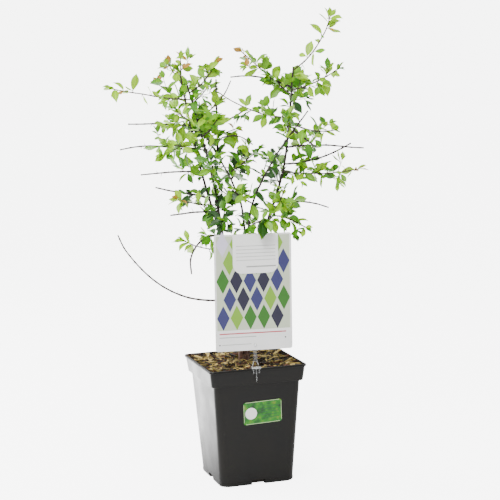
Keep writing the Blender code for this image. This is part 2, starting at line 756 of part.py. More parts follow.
class Space:
    """The room that limbs and sprays have taken, each piece with its owner."""

    def __init__(self):
        self.taken = []

    def take(self, owner, mesh):
        """Notes a piece as taken."""
        self.taken.append((owner, *middle_and_reach(mesh), tree_of(mesh)))

    def is_free(self, owner, mesh):
        """Whether a piece touches nothing that another owner has."""
        middle, reach = middle_and_reach(mesh)
        tree = tree_of(mesh)
        for other, other_middle, other_reach, other_tree in self.taken:
            if other == owner or (other_middle - middle).length > reach + other_reach:
                continue
            if tree.overlap(other_tree):
                return False
        return True


def spray_start(stem, height, way, radius):
    """Where a spray's first cut face stands clear of its stem."""
    line = LINES[stem]
    for lower, upper in zip(line, line[1:]):
        if upper.z >= height:
            break
    share = (height - lower.z) / (upper.z - lower.z)
    middle = lower.lerp(upper, share)
    cosine = abs(way.dot((upper - lower).normalized()))
    sine = math.sqrt(1 - cosine ** 2)
    return middle + way * (stem_radius(stem, height) + GAP + radius * cosine) / sine


def try_leaf(owner, space, pieces, line, share, turn, spread, length, rng):
    """Adds a leaf to a spray where there is room for it."""
    point, way = point_along(line, share)
    leaf_way = (way * math.cos(math.radians(spread)) + square_to(way, turn) * math.sin(math.radians(spread)))
    face = leaf_face(leaf_way, rng.uniform(-LEAF_ROLL, LEAF_ROLL))
    root = point - leaf_way * LEAF_SINK
    trial = leaf_mesh(root, leaf_way, face, length, CLEARANCE)
    free = space.is_free(owner, trial)
    bpy.data.meshes.remove(trial)
    if free:
        leaf = leaf_mesh(root, leaf_way, face, length)
        space.take(owner, leaf)
        pieces.append(leaf)


def grow_leaves(owner, space, pieces, line, first, last, count, rng):
    """Leaves along a stretch of a twig, in a spiral, the end ones small and close."""
    phase = rng.uniform(0, 360)
    for number in range(count):
        share = first + (last - first) * (number + 0.7) / count
        at_tip = last == 1.0 and number >= count - 2
        size = (0.72 if at_tip else 1.0) * rng.uniform(0.82, 1.12)
        spread = (0.45 if at_tip else 1.0) * LEAF_SPREAD + rng.uniform(-8, 8)
        try_leaf(owner, space, pieces, line, min(share, 0.97), phase + SPIRAL * number, spread,
                 LEAF_LENGTH * size, rng)


def grow_side_twigs(owner, space, pieces, line, count, first, last, rng):
    """Short side twigs with their own leaves, skipped where there is no room."""
    phase = rng.uniform(0, 360)
    for number in range(count):
        share = first + (min(last, 0.75) - first) * (number + 0.4) / count
        point, way = point_along(line, share)
        turn = phase + SPIRAL * number
        spread = math.radians(TWIG_SPREAD + rng.uniform(-8, 8))
        side_way = way * math.cos(spread) + square_to(way, turn) * math.sin(spread)
        heading = math.degrees(math.atan2(side_way.y, side_way.x))
        rise = math.degrees(math.asin(side_way.z))
        length = SIDE_TWIG_LENGTH * rng.uniform(0.7, 1.15)
        side_line = grow_line(point, heading, rise, length, 12, rng)
        trial = twig_mesh(side_line, SIDE_TWIG_RADIUS + CLEARANCE, SIDE_TWIG_TIP_RADIUS + CLEARANCE)
        if space.is_free(owner, trial):
            twig = twig_mesh(side_line, SIDE_TWIG_RADIUS, SIDE_TWIG_TIP_RADIUS)
            space.take(owner, twig)
            pieces.append(twig)
            grow_leaves(owner, space, pieces, side_line, 0.35, 1.0, SIDE_TWIG_LEAVES, rng)
        bpy.data.meshes.remove(trial)


def make_sprays(limbs):
    """The sprays: every main twig first, then their side twigs and leaves where there is room."""
    space = Space()
    for limb in limbs:
        space.take(limb.name, limb.data)
    plans = []
    counts = {}
    for number, spec in enumerate(SPRAYS):
        stem, height, heading, rise, length, bend = spec[:6]
        counts[stem] = counts.get(stem, 0) + 1
        name = f"{stem.replace('stem_', 'spray_')}_{counts[stem]}"
        rng = random.Random(SEED + number)
        radius = TWIG_RADIUS * (0.75 if spec[8] == 0 else 1.0)
        start = spray_start(stem, height, aim(heading, rise), radius)
        line = grow_line(start, heading, rise, length, bend, rng)
        twig = twig_mesh(line, radius, min(radius, TWIG_TIP_RADIUS))
        space.take(name, twig)
        plans.append((name, line, twig, spec[6:], rng))
    for name, line, twig, (first, last, leaves, twigs), rng in plans:
        pieces = []
        grow_side_twigs(name, space, pieces, line, twigs, first, last, rng)
        own_leaves = max(0, leaves - SIDE_TWIG_LEAVES * twigs)
        grow_leaves(name, space, pieces, line, first, last, own_leaves, rng)
        spray = add_object(name, twig, "foliage")
        if pieces:
            join(spray, pieces)
        for piece in pieces:
            bpy.data.meshes.remove(piece)
        spray.data.materials.clear()
        spray.data.materials.append(MATERIALS["foliage"])


clear_scene()
PART = make_collection("potted_blackthorn")
GUIDES = make_collection("guides")
MATERIALS = {slot: make_material(slot) for slot in COLOURS}
SECTION = three_sided_section()
LINES = {name: stem_line(name) for name in STEMS}

fixed = [make_pot(), make_soil(), make_mulch(), make_card(), make_holder(), make_sticker(), make_stool()]
make_sprays(fixed + make_stems())
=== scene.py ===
"""The looks of a young blackthorn in a square nursery pot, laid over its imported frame.

Metres, +Z up, the pot's front towards -Y. The stems and the main line of each spray follow the same rule
as the frame's, and finer twigs, spurs, thorns, buds and leaves grow on from them.
"""

import math
import random

import bmesh
import bpy
import numpy as np
from mathutils import Matrix, Vector, noise


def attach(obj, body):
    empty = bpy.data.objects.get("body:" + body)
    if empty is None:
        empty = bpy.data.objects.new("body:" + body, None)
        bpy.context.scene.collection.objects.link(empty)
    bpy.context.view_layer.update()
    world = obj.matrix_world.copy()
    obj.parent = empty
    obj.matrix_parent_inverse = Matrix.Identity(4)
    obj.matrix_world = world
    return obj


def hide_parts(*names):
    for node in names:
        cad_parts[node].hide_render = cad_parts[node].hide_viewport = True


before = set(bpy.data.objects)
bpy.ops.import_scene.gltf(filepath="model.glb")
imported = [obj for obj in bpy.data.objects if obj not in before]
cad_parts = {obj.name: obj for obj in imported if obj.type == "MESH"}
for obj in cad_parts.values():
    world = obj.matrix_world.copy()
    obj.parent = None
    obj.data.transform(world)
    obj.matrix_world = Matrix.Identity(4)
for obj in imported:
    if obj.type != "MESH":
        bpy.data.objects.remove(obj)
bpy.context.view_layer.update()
bpy.ops.object.select_all(action="DESELECT")

UP = Vector((0, 0, 1))

# Seeds: the first spray's, one more for each spray after it, and those of the other parts
SPRAY_SEED = 71
SPUR_SEED = 371
MULCH_SEED = 571
STEM_SEED = 971

# Clear space between neighbours in the frame
GAP = 0.0003

# Camera: it stands in front and to the left of the pot and looks slightly down
CAMERA_PLACE = Vector((-0.7692, -2.5617, 0.7698))
CAMERA_YAW = 0.2976
CAMERA_PITCH = 0.1319
CAMERA_ROLL = 0.0267
CAMERA_LENS = 108

# Studio: how bright the sky is in front and behind, where it turns from one to the other, and how it shows
SKY_FRONT = 0.50
SKY_BEHIND = 1.5
SKY_TURN = (-0.6, 0.5)
SKY_SHOWN = 6.5

# The floor: it glows in a round patch behind the pot, by an even fall from its middle, full above a share
# of it, and shows as one even tone
FLOOR_SIZE = 30
FLOOR_DROP = 0.0004
FLOOR_TONE = 0.90
FLOOR_GLOW = 8.5
GLOW_MIDDLE = Vector((-0.25, 0.80, 0))
GLOW_RADIUS = 0.80
GLOW_FULL = 0.6
FLOOR_SHOWN = 5.6

# Square lights: place, the point that they face, size and power
LIGHTS = {
    "key": ((-1.0, -1.7, 2.6), (0, 0, 0.50), 1.1, 105),
    "back_left": ((-1.9, 1.6, 1.2), (0, 0, 0.4), 1.6, 70),
}

# Pot: heights, half widths, walls and corners from foot to lip, its rounded edges, and its drain notches
POT_HEIGHT = 0.216
POT_WALL = 0.0016
POT_FLOOR = 0.003
FOOT_HALF = 0.0684
SHOULDER_HEIGHT = 0.186
WALL_TOP_HALF = 0.0800
SKIRT_FOOT_HALF = 0.0850
SKIRT_TOP_HALF = 0.0885
LIP_HALF = 0.0900
LIP_HEIGHT = 0.0045
LIP_WALL = 0.0028
FOOT_CORNER = 0.016
RIM_CORNER = 0.008
CORNER_SEGMENTS = 10
FOOT_INSET = 0.0015
FOOT_BEAD = 0.0006
BEAD_HEIGHTS = (0.0020, 0.0060, 0.0070, 0.0082)
WALL_RINGS = (0.045, 0.090, 0.135, 0.175)
EDGE_ROUND = 0.0006
SEAM_ROUND = 0.0004
LIP_ROUND = 0.0012
LIP_INNER_ROUND = 0.0005
LEDGE_WALL = 0.0012
LEDGE_FALL = 0.0010
RING_STEP = 0.001
POT_SMOOTH_ANGLE = 28
DRAIN_WIDTH = 0.025
DRAIN_HEIGHT = 0.0085
DRAIN_DEPTH = 0.012

# Mulch: how far it reaches, how much it falls to the pot's wall, and the room that it leaves the stool
MULCH_HALF = 0.0800
MULCH_TOP = 0.2130
MULCH_FALL = 0.002
STOOL_CLEAR = 0.013
LIP_CLEAR = 0.0012

# Mulch chips: straws are a share of them, chips beside the wall are shorter, and all lie nearly flat
CHIP_COUNT = 1300
CHIP_LENGTHS = (0.008, 0.030)
CHIP_WIDTHS = (0.0025, 0.0075)
CHIP_DEPTHS = (0.0008, 0.0024)
CHIP_RISE = (-0.0012, 0.0052)
CHIP_PITCH = 0.16
CHIP_ROLL = 0.25
STRAW_SHARE = 0.45
STRAW_WIDTHS = (0.0009, 0.0020)
EDGE_FROM = 0.88
EDGE_SHORTER = 0.75
CHIP_SHAPE_COUNT = 9
CHIP_BEVEL = 0.10
CHIP_JITTER = 0.10
CHIP_TAPER = 0.7
CHIP_TAPER_SHARE = (0.4, 1.1)

# Share of each kind of chip, then its two colours, roughness, scale of its patches and depth of its grain
CHIP_KINDS = {
    "straw": (0.26, "cbb269", "94793a", 0.75, 220.0, 0.5, 0.0005),
    "olive": (0.26, "756527", "4d4018", 0.80, 200.0, 0.5, 0.0005),
    "dark": (0.33, "261b0e", "140d06", 0.90, 200.0, 0.6, 0.0006),
    "russet": (0.15, "64381d", "3b200f", 0.80, 200.0, 0.5, 0.0005),
}
CHIP_GRAIN = 900.0

# Stool and stems, as in the frame: a stem's radius at its foot and at its tip, then the points that it
# passes through, as height, x and y
STOOL_TOP = 0.223
STOOL_FOOT = 0.2055
STOOL_RADIUS = 0.0108
STOOL_FLARE = 0.0150
ROOT_LOBES = 5
FORK_LENGTH = 0.008
STEM_FOOT_RING = 0.0072
STEM_UPRIGHT = 0.006
STEM_STEPS = 3
FOOT_PULL = 1.8
STEMS = {
    "stem_left_front": (
        (0.0034, 0.0015),
        ((0.330, -0.022, -0.008), (0.445, -0.036, -0.006), (0.550, -0.053, -0.010),
         (0.660, -0.080, -0.013), (0.725, -0.097, -0.013)),
    ),
    "stem_left_rear": (
        (0.0031, 0.0017),
        ((0.330, -0.017, 0.018), (0.435, -0.027, 0.035), (0.530, -0.047, 0.060),
         (0.620, -0.063, 0.077), (0.728, -0.079, 0.092)),
    ),
    "stem_middle": (
        (0.0028, 0.0015),
        ((0.350, 0.010, 0.008), (0.475, 0.008, 0.008), (0.530, -0.005, 0.019),
         (0.580, -0.026, 0.035), (0.623, -0.047, 0.052)),
    ),
    "stem_right_front": (
        (0.0031, 0.0013),
        ((0.350, 0.006, -0.012), (0.475, 0.013, -0.015), (0.540, 0.031, -0.035),
         (0.600, 0.060, -0.060), (0.664, 0.100, -0.093)),
    ),
    "stem_right_rear": (
        (0.0034, 0.0015),
        ((0.330, 0.024, 0.003), (0.445, 0.046, 0.002), (0.525, 0.075, 0.003),
         (0.600, 0.093, 0.005), (0.740, 0.109, 0.008)),
    ),
}

# Where each stem starts round the stool, in degrees
STEM_FEET = {
    "stem_left_front": 205,
    "stem_left_rear": 140,
    "stem_middle": 72,
    "stem_right_rear": 5,
    "stem_right_front": 285,
}

# Height and radius of each ring of the stool, and how far out, how high and how thick a root is along it
STOOL_RINGS = (
    (STOOL_FOOT - 0.008, STOOL_FLARE),
    (STOOL_FOOT, STOOL_FLARE * 0.93),
    (0.211, STOOL_RADIUS * 1.03),
    (0.217, STOOL_RADIUS * 0.95),
    (STOOL_TOP + 0.001, STOOL_RADIUS * 0.72),
)
ROOT_RINGS = ((0.006, 0.218, 0.0030), (0.011, 0.210, 0.0042), (0.0135, 0.200, 0.0040))
STUB_SWELLS = (1.7, 1.3, 1.02)
STUB_DRAWN_IN = 0.9
STUB_DEPTH = 0.004
STUB_LAP = 0.002
FUSE_SIZE = 0.0007
FUSE_EASE = 4

# Limbs: sides round a stem and a twig, and the steps that smooth their lines
STEM_SIDES = 14
TWIG_SIDES = 6
STEM_SMOOTH = 7
TWIG_SMOOTH = 6
WELD = 0.00002

# Nodes swell a stem at even waves of its height, its line wanders, and its bark has relief: size and height
NODE_WAVES = 330
NODE_SHARPNESS = 6
NODE_SWELL = 0.16
STEM_SHARE = 0.97
WANDER = 0.0006
WANDER_SCALE = 45
WANDER_APART = 9
BARK_RELIEF = (0.004, 0.0007)
STOOL_RELIEF = (0.003, 0.0010)
RELIEF_DETAIL = 3

# Sprays, as in the frame: stem, height on it, heading and rise where it leaves, length, bend along it,
# and the stretch that has leaves; then how its leaves are tinted
SPRAYS = (
    ("stem_left_front", 0.688, 175, 2, 0.140, 14, 0.06, 1.0, "sparse"),
    ("stem_left_front", 0.676, 134, 22, 0.083, 16, 0.08, 1.0, "bronze_tip"),
    ("stem_left_rear", 0.722, 165, 40, 0.032, 30, 0.30, 1.0, "bronze_tip"),
    ("stem_left_rear", 0.706, 79, 55, 0.056, 12, 0.10, 1.0, "bronze"),
    ("stem_left_front", 0.700, 322, 28, 0.072, 32, 0.10, 1.0, "bronze_tip"),
    ("stem_left_front", 0.651, 330, 30, 0.092, 35, 0.05, 0.5, "young"),
    ("stem_middle", 0.619, 342, 8, 0.052, 8, 0.10, 1.0, "bronze_tip"),
    ("stem_left_front", 0.598, 184, 16, 0.072, -12, 0.05, 1.0, "young"),
    ("stem_left_rear", 0.554, 135, 2, 0.128, -8, 0.04, 0.32, "light"),
    ("stem_left_front", 0.500, 192, 2, 0.076, 16, 0.10, 1.0, "sparse"),
    ("stem_left_front", 0.419, 184, 2, 0.078, 30, 0.20, 1.0, "sparse"),
    ("stem_left_rear", 0.639, 143, 1, 0.120, 0, 0.04, 0.40, "young"),
    ("stem_left_rear", 0.589, 155, 15, 0.142, -24, 0.04, 0.50, "young"),
    ("stem_left_rear", 0.507, 147, 10, 0.101, 2, 0.04, 0.40, "mid"),
    ("stem_left_front", 0.489, 200, 2, 0.098, -6, 0.04, 0.30, "mid"),
    ("stem_left_front", 0.330, 174, -4, 0.252, 72, 0.0, 0.0, "bare"),
    ("stem_left_front", 0.445, 190, 12, 0.105, -118, 0.04, 0.20, "light"),
    ("stem_left_rear", 0.628, 2, 8, 0.108, 20, 0.04, 0.35, "light"),
    ("stem_middle", 0.585, 70, 80, 0.132, 4, 0.0, 0.0, "bare"),
    ("stem_middle", 0.603, 317, 45, 0.088, -88, 0.06, 0.40, "light"),
    ("stem_right_rear", 0.649, 145, 4, 0.143, 34, 0.04, 0.60, "light"),
    ("stem_right_rear", 0.690, 175, 40, 0.116, 0, 0.04, 1.0, "bronze_tip"),
    ("stem_right_rear", 0.703, 134, 24, 0.128, -28, 0.04, 0.30, "light"),
    ("stem_right_rear", 0.733, 323, 34, 0.118, 38, 0.06, 1.0, "sparse"),
    ("stem_right_rear", 0.698, 6, 8, 0.102, 26, 0.05, 1.0, "young"),
    ("stem_right_front", 0.638, 335, -28, 0.064, 40, 0.10, 1.0, "young"),
    ("stem_right_front", 0.631, 298, -28, 0.060, -4, 0.0, 0.0, "bare"),
    ("stem_right_rear", 0.596, 2, 3, 0.148, -12, 0.04, 0.35, "light"),
    ("stem_right_rear", 0.552, 331, -4, 0.138, 12, 0.06, 1.0, "bronze_tip"),
    ("stem_right_rear", 0.566, 353, 0, 0.128, 30, 0.04, 0.40, "light"),
    ("stem_right_rear", 0.498, 5, 2, 0.108, -22, 0.04, 0.35, "mid"),
    ("stem_right_rear", 0.476, 303, -2, 0.084, -22, 0.08, 1.0, "light"),
    ("stem_right_rear", 0.462, 276, 32, 0.094, 22, 0.08, 1.0, "young"),
    ("stem_left_front", 0.545, 250, 30, 0.070, 10, 0.08, 1.0, "mid"),
    ("stem_left_front", 0.622, 285, 25, 0.055, 15, 0.08, 1.0, "young"),
    ("stem_left_rear", 0.605, 65, 25, 0.098, 15, 0.06, 1.0, "mid"),
    ("stem_left_rear", 0.672, 20, 25, 0.060, 20, 0.08, 1.0, "light"),
    ("stem_left_front", 0.642, 215, 20, 0.058, 10, 0.08, 1.0, "young"),
    ("stem_left_front", 0.462, 262, 25, 0.060, 10, 0.08, 1.0, "deep"),
    ("stem_middle", 0.500, 205, 25, 0.062, 10, 0.08, 1.0, "deep"),
    ("stem_middle", 0.540, 55, 20, 0.105, 15, 0.06, 1.0, "deep"),
    ("stem_middle", 0.552, 350, 30, 0.070, 10, 0.08, 1.0, "light"),
    ("stem_right_front", 0.448, 272, 32, 0.084, -24, 0.25, 1.0, "mid"),
    ("stem_right_front", 0.500, 215, 25, 0.062, 10, 0.08, 1.0, "light"),
    ("stem_right_rear", 0.530, 75, 15, 0.115, 20, 0.06, 1.0, "deep"),
    ("stem_right_rear", 0.620, 250, 20, 0.062, 15, 0.08, 1.0, "light"),
    ("stem_right_rear", 0.672, 62, 25, 0.085, 15, 0.06, 1.0, "mid"),
)

# A twig's steps and waver, and its radius in the frame, which sets where it leaves its stem
TWIG_STEP = 0.026
TWIG_WAVER = 6
FRAME_TWIG_RADIUS = 0.0011
FRAME_BARE_SHARE = 0.75

# A drawn twig, thicker where it is mostly bare: a long one with leaves near its foot only
TWIG_RADIUS = 0.00150
TWIG_TIP_RADIUS = 0.00100
BARE_THICKER = 1.35
BARE_BEYOND = 0.55
BARE_LENGTH = 0.095
TWIG_NODE_SWELL = 1.22
TWIG_NODE_STEPS = 4

# The turn from each spur, bud or leaf to the next, in degrees
SPIRAL = 137.5

# Side twigs of a spray: spacing, length, spread from the main twig, bend and radii
SIDE_TWIG_SPACING = 0.026
SIDE_TWIG_END = 0.80
SIDE_TWIG_OFFSET = 0.4
SIDE_TWIG_LENGTH = (0.016, 0.030)
SIDE_TWIG_SPREAD = (42, 62)
SIDE_TWIG_BEND = 12
SIDE_TWIG_STEP = 0.012
SIDE_TWIG_RADIUS = 0.0007
SIDE_TWIG_TIP_RADIUS = 0.0004
SIDE_SPUR_SPACING = 0.012
SIDE_LEAFY_FROM = 0.35

# Spurs: spacing on a spray and on a sparse one, length, spread and radii, and how far their leaves spread
SPUR_SPACING = 0.0105
SPARSE_SPACING = 0.0155
SPUR_OFFSET = 0.6
SPUR_LENGTH = (0.002, 0.006)
SPUR_SPREAD = (48, 72)
SPUR_BUD = 0.0012
SPUR_RADII = (0.0007, 0.0006, 0.0002)
SPUR_LEAF_SPREAD = (18, 58)
LAST_SPUR = 0.96
SIDE_REACH = 0.95

# Spurs that grow on the stems: where the lowest are, how far below the cut they end, and their spacing
STEM_SPUR_FROM = 0.425
STEM_SPUR_BELOW = 0.012
STEM_SPUR_SPACING = (0.010, 0.020)
DEEP_BELOW = 0.50
MID_BELOW = 0.60

# Thorns and buds: spacing on twigs and stems, a bud's line and radii, and a thorn's
TWIG_BUD_SPACING = 0.017
STEM_BUD_SPACING = 0.024
STEM_BUDS_FROM = 0.12
LEAFY_BUDS_FROM = 0.3
LAST_BUD = 0.97
BUD_SHIFT = (0.3, 0.7)
BUD_SPREAD = 40
BUD_LINE = (0.0014, 0.0026)
BUD_RADII = (0.0006, 0.0008, 0.0002)
THORN_SHARE = 0.35
THORN_TURN = 30
THORN_SPREAD = (55, 80)
THORN_LENGTH = (0.006, 0.013)
THORN_RADII = (0.00055, 0.00042, 0.00010)

# Leaves: length and width over length, how far each kind folds along its rib and droops, and the outline
LEAF_LENGTH = (0.022, 0.034)
LEAF_WIDTH = 0.48
LEAF_STATIONS = 14
LEAF_COLUMNS = 4
LEAF_TOOTH = 0.035
LEAF_EDGE = 0.9
FOLD_SHORTENS = 0.10
LEAF_STALK = 0.07
LEAF_STALK_HALF = 0.012
LEAF_BROADEST = 1.12
LEAF_FULLNESS = (0.62, 0.55)
LEAF_WAVE = 0.02
LEAF_WAVES = 9
LEAF_KINDS = ((0.25, 0.10), (0.50, 0.18), (0.12, -0.06), (0.75, 0.26))
LEAF_ROLL = 70
LAST_LEAF_SMALLER = 0.72
BRONZE_SMALLER = 0.72

# Leaves near and at the tip of a leafy spray, the cluster at a sparse one's tip, and those over the card
NEAR_TIP = 0.80
TIP_SPUR_SMALLER = 0.85
TIP_AT = 0.99
TIP_LEAVES = 3
TIP_LEAF_LENGTH = (0.013, 0.019)
TIP_LEAF_SPREAD = (12, 8)
TIP_LEAF_ROLL = 60
CLUSTER_AT = (0.84, 0.90, 0.95)
CLUSTER_SPREAD = (35, 65)
CLUSTER_LENGTH = (0.024, 0.031)
OVER_CARD = ("stem_right_front", 0.448)
HANGING_AT = (0.78, 0.86, 0.92, 0.96, 0.99)
HANGING_HEADING = (225, 310)
HANGING_FALL = (-72, -25)
HANGING_ROLL = 50
HANGING_LENGTH = (0.031, 0.037)
HANGING_TINTS = ("light", "mid", "deep")

# Leaves on a spur: how many, at random, on a leafy spray, near its tip, and on a sparse one and its tip
SPUR_COUNTS = {
    ("leafy", False): (2, 2, 3, 3),
    ("leafy", True): (1, 2, 2),
    ("sparse", False): (1, 2, 2),
    ("sparse", True): (2, 3),
}
STEM_SPUR_COUNTS = (1, 2, 3)

# Share of each tint that a spray's leaves take, and of bronze at the tips of the two kinds that have it
TINTS = {
    "young": (("young", 0.55), ("light", 0.35), ("mid", 0.10)),
    "light": (("young", 0.22), ("light", 0.48), ("mid", 0.30)),
    "mid": (("light", 0.35), ("mid", 0.45), ("deep", 0.20)),
    "deep": (("light", 0.12), ("mid", 0.43), ("deep", 0.45)),
    "bronze_tip": (("young", 0.50), ("light", 0.35), ("mid", 0.15)),
    "bronze": (("bronze", 0.20), ("young", 0.60), ("light", 0.20)),
    "sparse": (("young", 0.45), ("light", 0.45), ("mid", 0.10)),
}
BRONZE_AT_TIP = {"bronze_tip": 0.55, "sparse": 0.30}
LEAF_COLOURS = {
    "young": "9acb02",
    "light": "72ad00",
    "mid": "488902",
    "deep": "1b4a04",
    "bronze": "b3842c",
}

# A leaf's print: the rib's half width and the pairs of veins, and how broad and how strong the veins are
RIB_WIDTH = 0.045
VEIN_PAIRS = 7.0
VEIN_SHARE = 0.12
VEIN_STRENGTH = 0.35

# A leaf's two other tones as shares of its colour, with the lift of the paler, and how pale its underside is
LEAF_PALER = 1.22
LEAF_LIFT = 0.012
LEAF_DARKER = 0.78
UNDERSIDE_PALER = 0.45

# Lenticels on bark: how close together, how large and how strong
LENTICEL_SCALE = 330.0
LENTICEL_SIZE = 0.17
LENTICEL_STRENGTH = 0.6

# Card and sticker, as in the frame
CARD_THICKNESS = 0.0006
CARD_MIDDLE = Vector((-0.0055, -0.0855, 0.3515))
CARD_TURN = -5.0
CARD_LEAN = 0.6
STICKER_SIZE = (0.071, 0.0415)
STICKER_THICKNESS = 0.0003
STICKER_X = 0.0084
STICKER_HEIGHT = 0.1338
STICKER_TURN = 1.7

# Print: how thick it lies and its roughness; then the card's pattern from the card's middle, a pale ground
# and rows of diamonds, with the order in which their colours are dealt out
PRINT_THICKNESS = 0.00008
PRINT_ROUGHNESS = 0.35
DISC_SIDES = 24
PATTERN_HALF = 0.0655
PATTERN_MIDDLE = 0.0170
PATTERN_HEIGHT = 0.1660
DIAMOND_ROWS = 5
DIAMOND_COLUMNS = 5
DIAMOND_REACH = 0.0545
DIAMOND_FOOT = -0.0440
DIAMOND_RISE = 0.0325
DIAMOND_SIZE = (0.0225, 0.0440)
DIAMOND_TURNS = ("violet", "dusk", "leaf", "violet", "green", "dusk", "green")
TOP_ROW_TURNS = ("leaf", "lilac")
DIAMOND_COLOURS = {
    "violet": "2f3063",
    "dusk": "1e1b33",
    "green": "2e6a19",
    "leaf": "78a62c",
    "lilac": "cfc9dc",
}

# The card's flap: its sides, top, foot and lower corners, and how far it and its print stand off the card
FLAP_SIDES = (-0.036, 0.045)
FLAP_TOP = 0.1025
FLAP_FOOT = 0.0335
FLAP_CORNER = 0.016
FLAP_CORNER_STEPS = 6
FLAP_THICKNESS = 0.0004
FLAP_LIFT = 0.0006
FLAP_PRINT_LIFT = 0.00085

# Rules on the flap and under the pattern: left end, right end, height and breadth
FLAP_RULES = [(-0.030, 0.040, 0.088 - 0.0062 * number, 0.0011) for number in range(1, 6)]
FLAP_SHORT_RULE = (-0.012, 0.041, 0.0455, 0.0022)
RED_RULE = (-0.062, 0.058, -0.0720, 0.0021)
GREY_RULES = ((-0.062, 0.004, -0.0785, 0.0014), (-0.058, -0.005, -0.0915, 0.0011))
DOTS = ((-0.0615, -0.0915), (0.0565, -0.0825))
DOT_RADIUS = 0.0013

# The sticker's print, in from its edge: its rim's inner and outer line, middle, breadth and ends;
# then from its middle its disc's place and radius, and its rules as on the card
RIM_INNER = 0.0012
RIM_OUTER = 0.0004
RIM_MIDDLE = 0.0008
RIM_BREADTH = 0.0009
RIM_END = 0.004
STICKER_DISC = (-0.0215, -0.0005, 0.0108)
STICKER_RULES = [
    (-0.002, 0.030 - 0.004 * (number % 2), 0.0105 - 0.0052 * number, 0.0013)
    for number in range(5)
]


def linear(code):
    """A colour's linear values from its six-figure code."""
    values = [int(code[place:place + 2], 16) / 255 for place in (0, 2, 4)]
    return tuple(v / 12.92 if v <= 0.04045 else ((v + 0.055) / 1.055) ** 2.4 for v in values) + (1.0,)


def deselect():
    """Leaves object mode's selection empty."""
    bpy.ops.object.select_all(action="DESELECT")


def pick(item):
    """Selects one object alone and makes it the active one."""
    deselect()
    item.select_set(True)
    bpy.context.view_layer.objects.active = item


def apply_modifiers(item):
    """Applies an object's modifiers in order, and leaves it picked."""
    pick(item)
    for modifier in list(item.modifiers):
        bpy.ops.object.modifier_apply(modifier=modifier.name)


def finish_piece(item, name, material, slot, *nodes):
    """Names a piece, gives it its finish, and lets it ride in place of its frame nodes."""
    item.name = name
    item.data.name = name
    item.data.materials.clear()
    item.data.materials.append(material)
    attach(item, "root")
    if nodes:
        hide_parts(*nodes)
    item.select_set(False)


def new_group(name, inputs, outputs):
    """An empty shader node group with its named sockets."""
    group = bpy.data.node_groups.new(name, "ShaderNodeTree")
    for socket, kind, value in inputs:
        made = group.interface.new_socket(socket, in_out="INPUT", socket_type=kind)
        made.default_value = value
    for socket, kind in outputs:
        group.interface.new_socket(socket, in_out="OUTPUT", socket_type=kind)
    nodes = group.nodes
    return group, nodes.new("NodeGroupInput"), nodes.new("NodeGroupOutput")


def add_node(tree, kind, inputs=None, **settings):
    """A node with its settings; an input is a value, or an output that is linked to it."""
    node = tree.nodes.new(kind)
    for name, value in settings.items():
        setattr(node, name, value)
    for key, value in (inputs or {}).items():
        if isinstance(value, bpy.types.NodeSocket):
            tree.links.new(value, node.inputs[key])
        else:
            node.inputs[key].default_value = value
    return node


def ramp(tree, factor, stops):
    """A colour ramp over a factor."""
    node = add_node(tree, "ShaderNodeValToRGB", {"Fac": factor})
    elements = node.color_ramp.elements
    while len(elements) < len(stops):
        elements.new(0.5)
    for element, (place, colour) in zip(elements, stops):
        element.position = place
        element.color = colour
    return node.outputs["Color"]


def calculated(tree, operation, *values):
    """The result of a Math node on its values, each a socket or a number."""
    return add_node(tree, "ShaderNodeMath", dict(enumerate(values)), operation=operation).outputs[0]


def mix_colours(tree, factor, first, second):
    """A mix of two colours, each a socket or a value."""
    node = add_node(tree, "ShaderNodeMix", data_type="RGBA")
    tree.links.new(factor, node.inputs[0])
    for socket, value in zip([s for s in node.inputs if s.type == "RGBA"], (first, second)):
        if isinstance(value, bpy.types.NodeSocket):
            tree.links.new(value, socket)
        else:
            socket.default_value = value
    return [s for s in node.outputs if s.type == "RGBA"][0]


def scaled(tree, value, factor):
    """A value times a factor."""
    return calculated(tree, "MULTIPLY", value, factor)


def mottle_group():
    """Uneven tone and fine grain, by place on the object."""
    group, given, out = new_group(
        "mottle",
        (
            ("Colour", "NodeSocketColor", (0.5, 0.5, 0.5, 1)),
            ("Other", "NodeSocketColor", (0.4, 0.4, 0.4, 1)),
            ("Patches", "NodeSocketFloat", 60.0),
            ("Grain", "NodeSocketFloat", 600.0),
        ),
        (("Colour", "NodeSocketColor"), ("Height", "NodeSocketFloat"), ("Mask", "NodeSocketFloat")),
    )
    place = add_node(group, "ShaderNodeTexCoord").outputs["Object"]
    patches = add_node(group, "ShaderNodeTexNoise",
                       {"Vector": place, "Scale": given.outputs["Patches"], "Detail": 4.0})
    grain = add_node(group, "ShaderNodeTexNoise",
                     {"Vector": place, "Scale": given.outputs["Grain"], "Detail": 3.0})
    mask = add_node(group, "ShaderNodeMapRange",
                    {"Value": patches.outputs["Fac"], "From Min": 0.35, "From Max": 0.65}).outputs["Result"]
    colour = mix_colours(group, mask, given.outputs["Colour"], given.outputs["Other"])
    group.links.new(colour, out.inputs["Colour"])
    group.links.new(grain.outputs["Fac"], out.inputs["Height"])
    group.links.new(mask, out.inputs["Mask"])
    return group


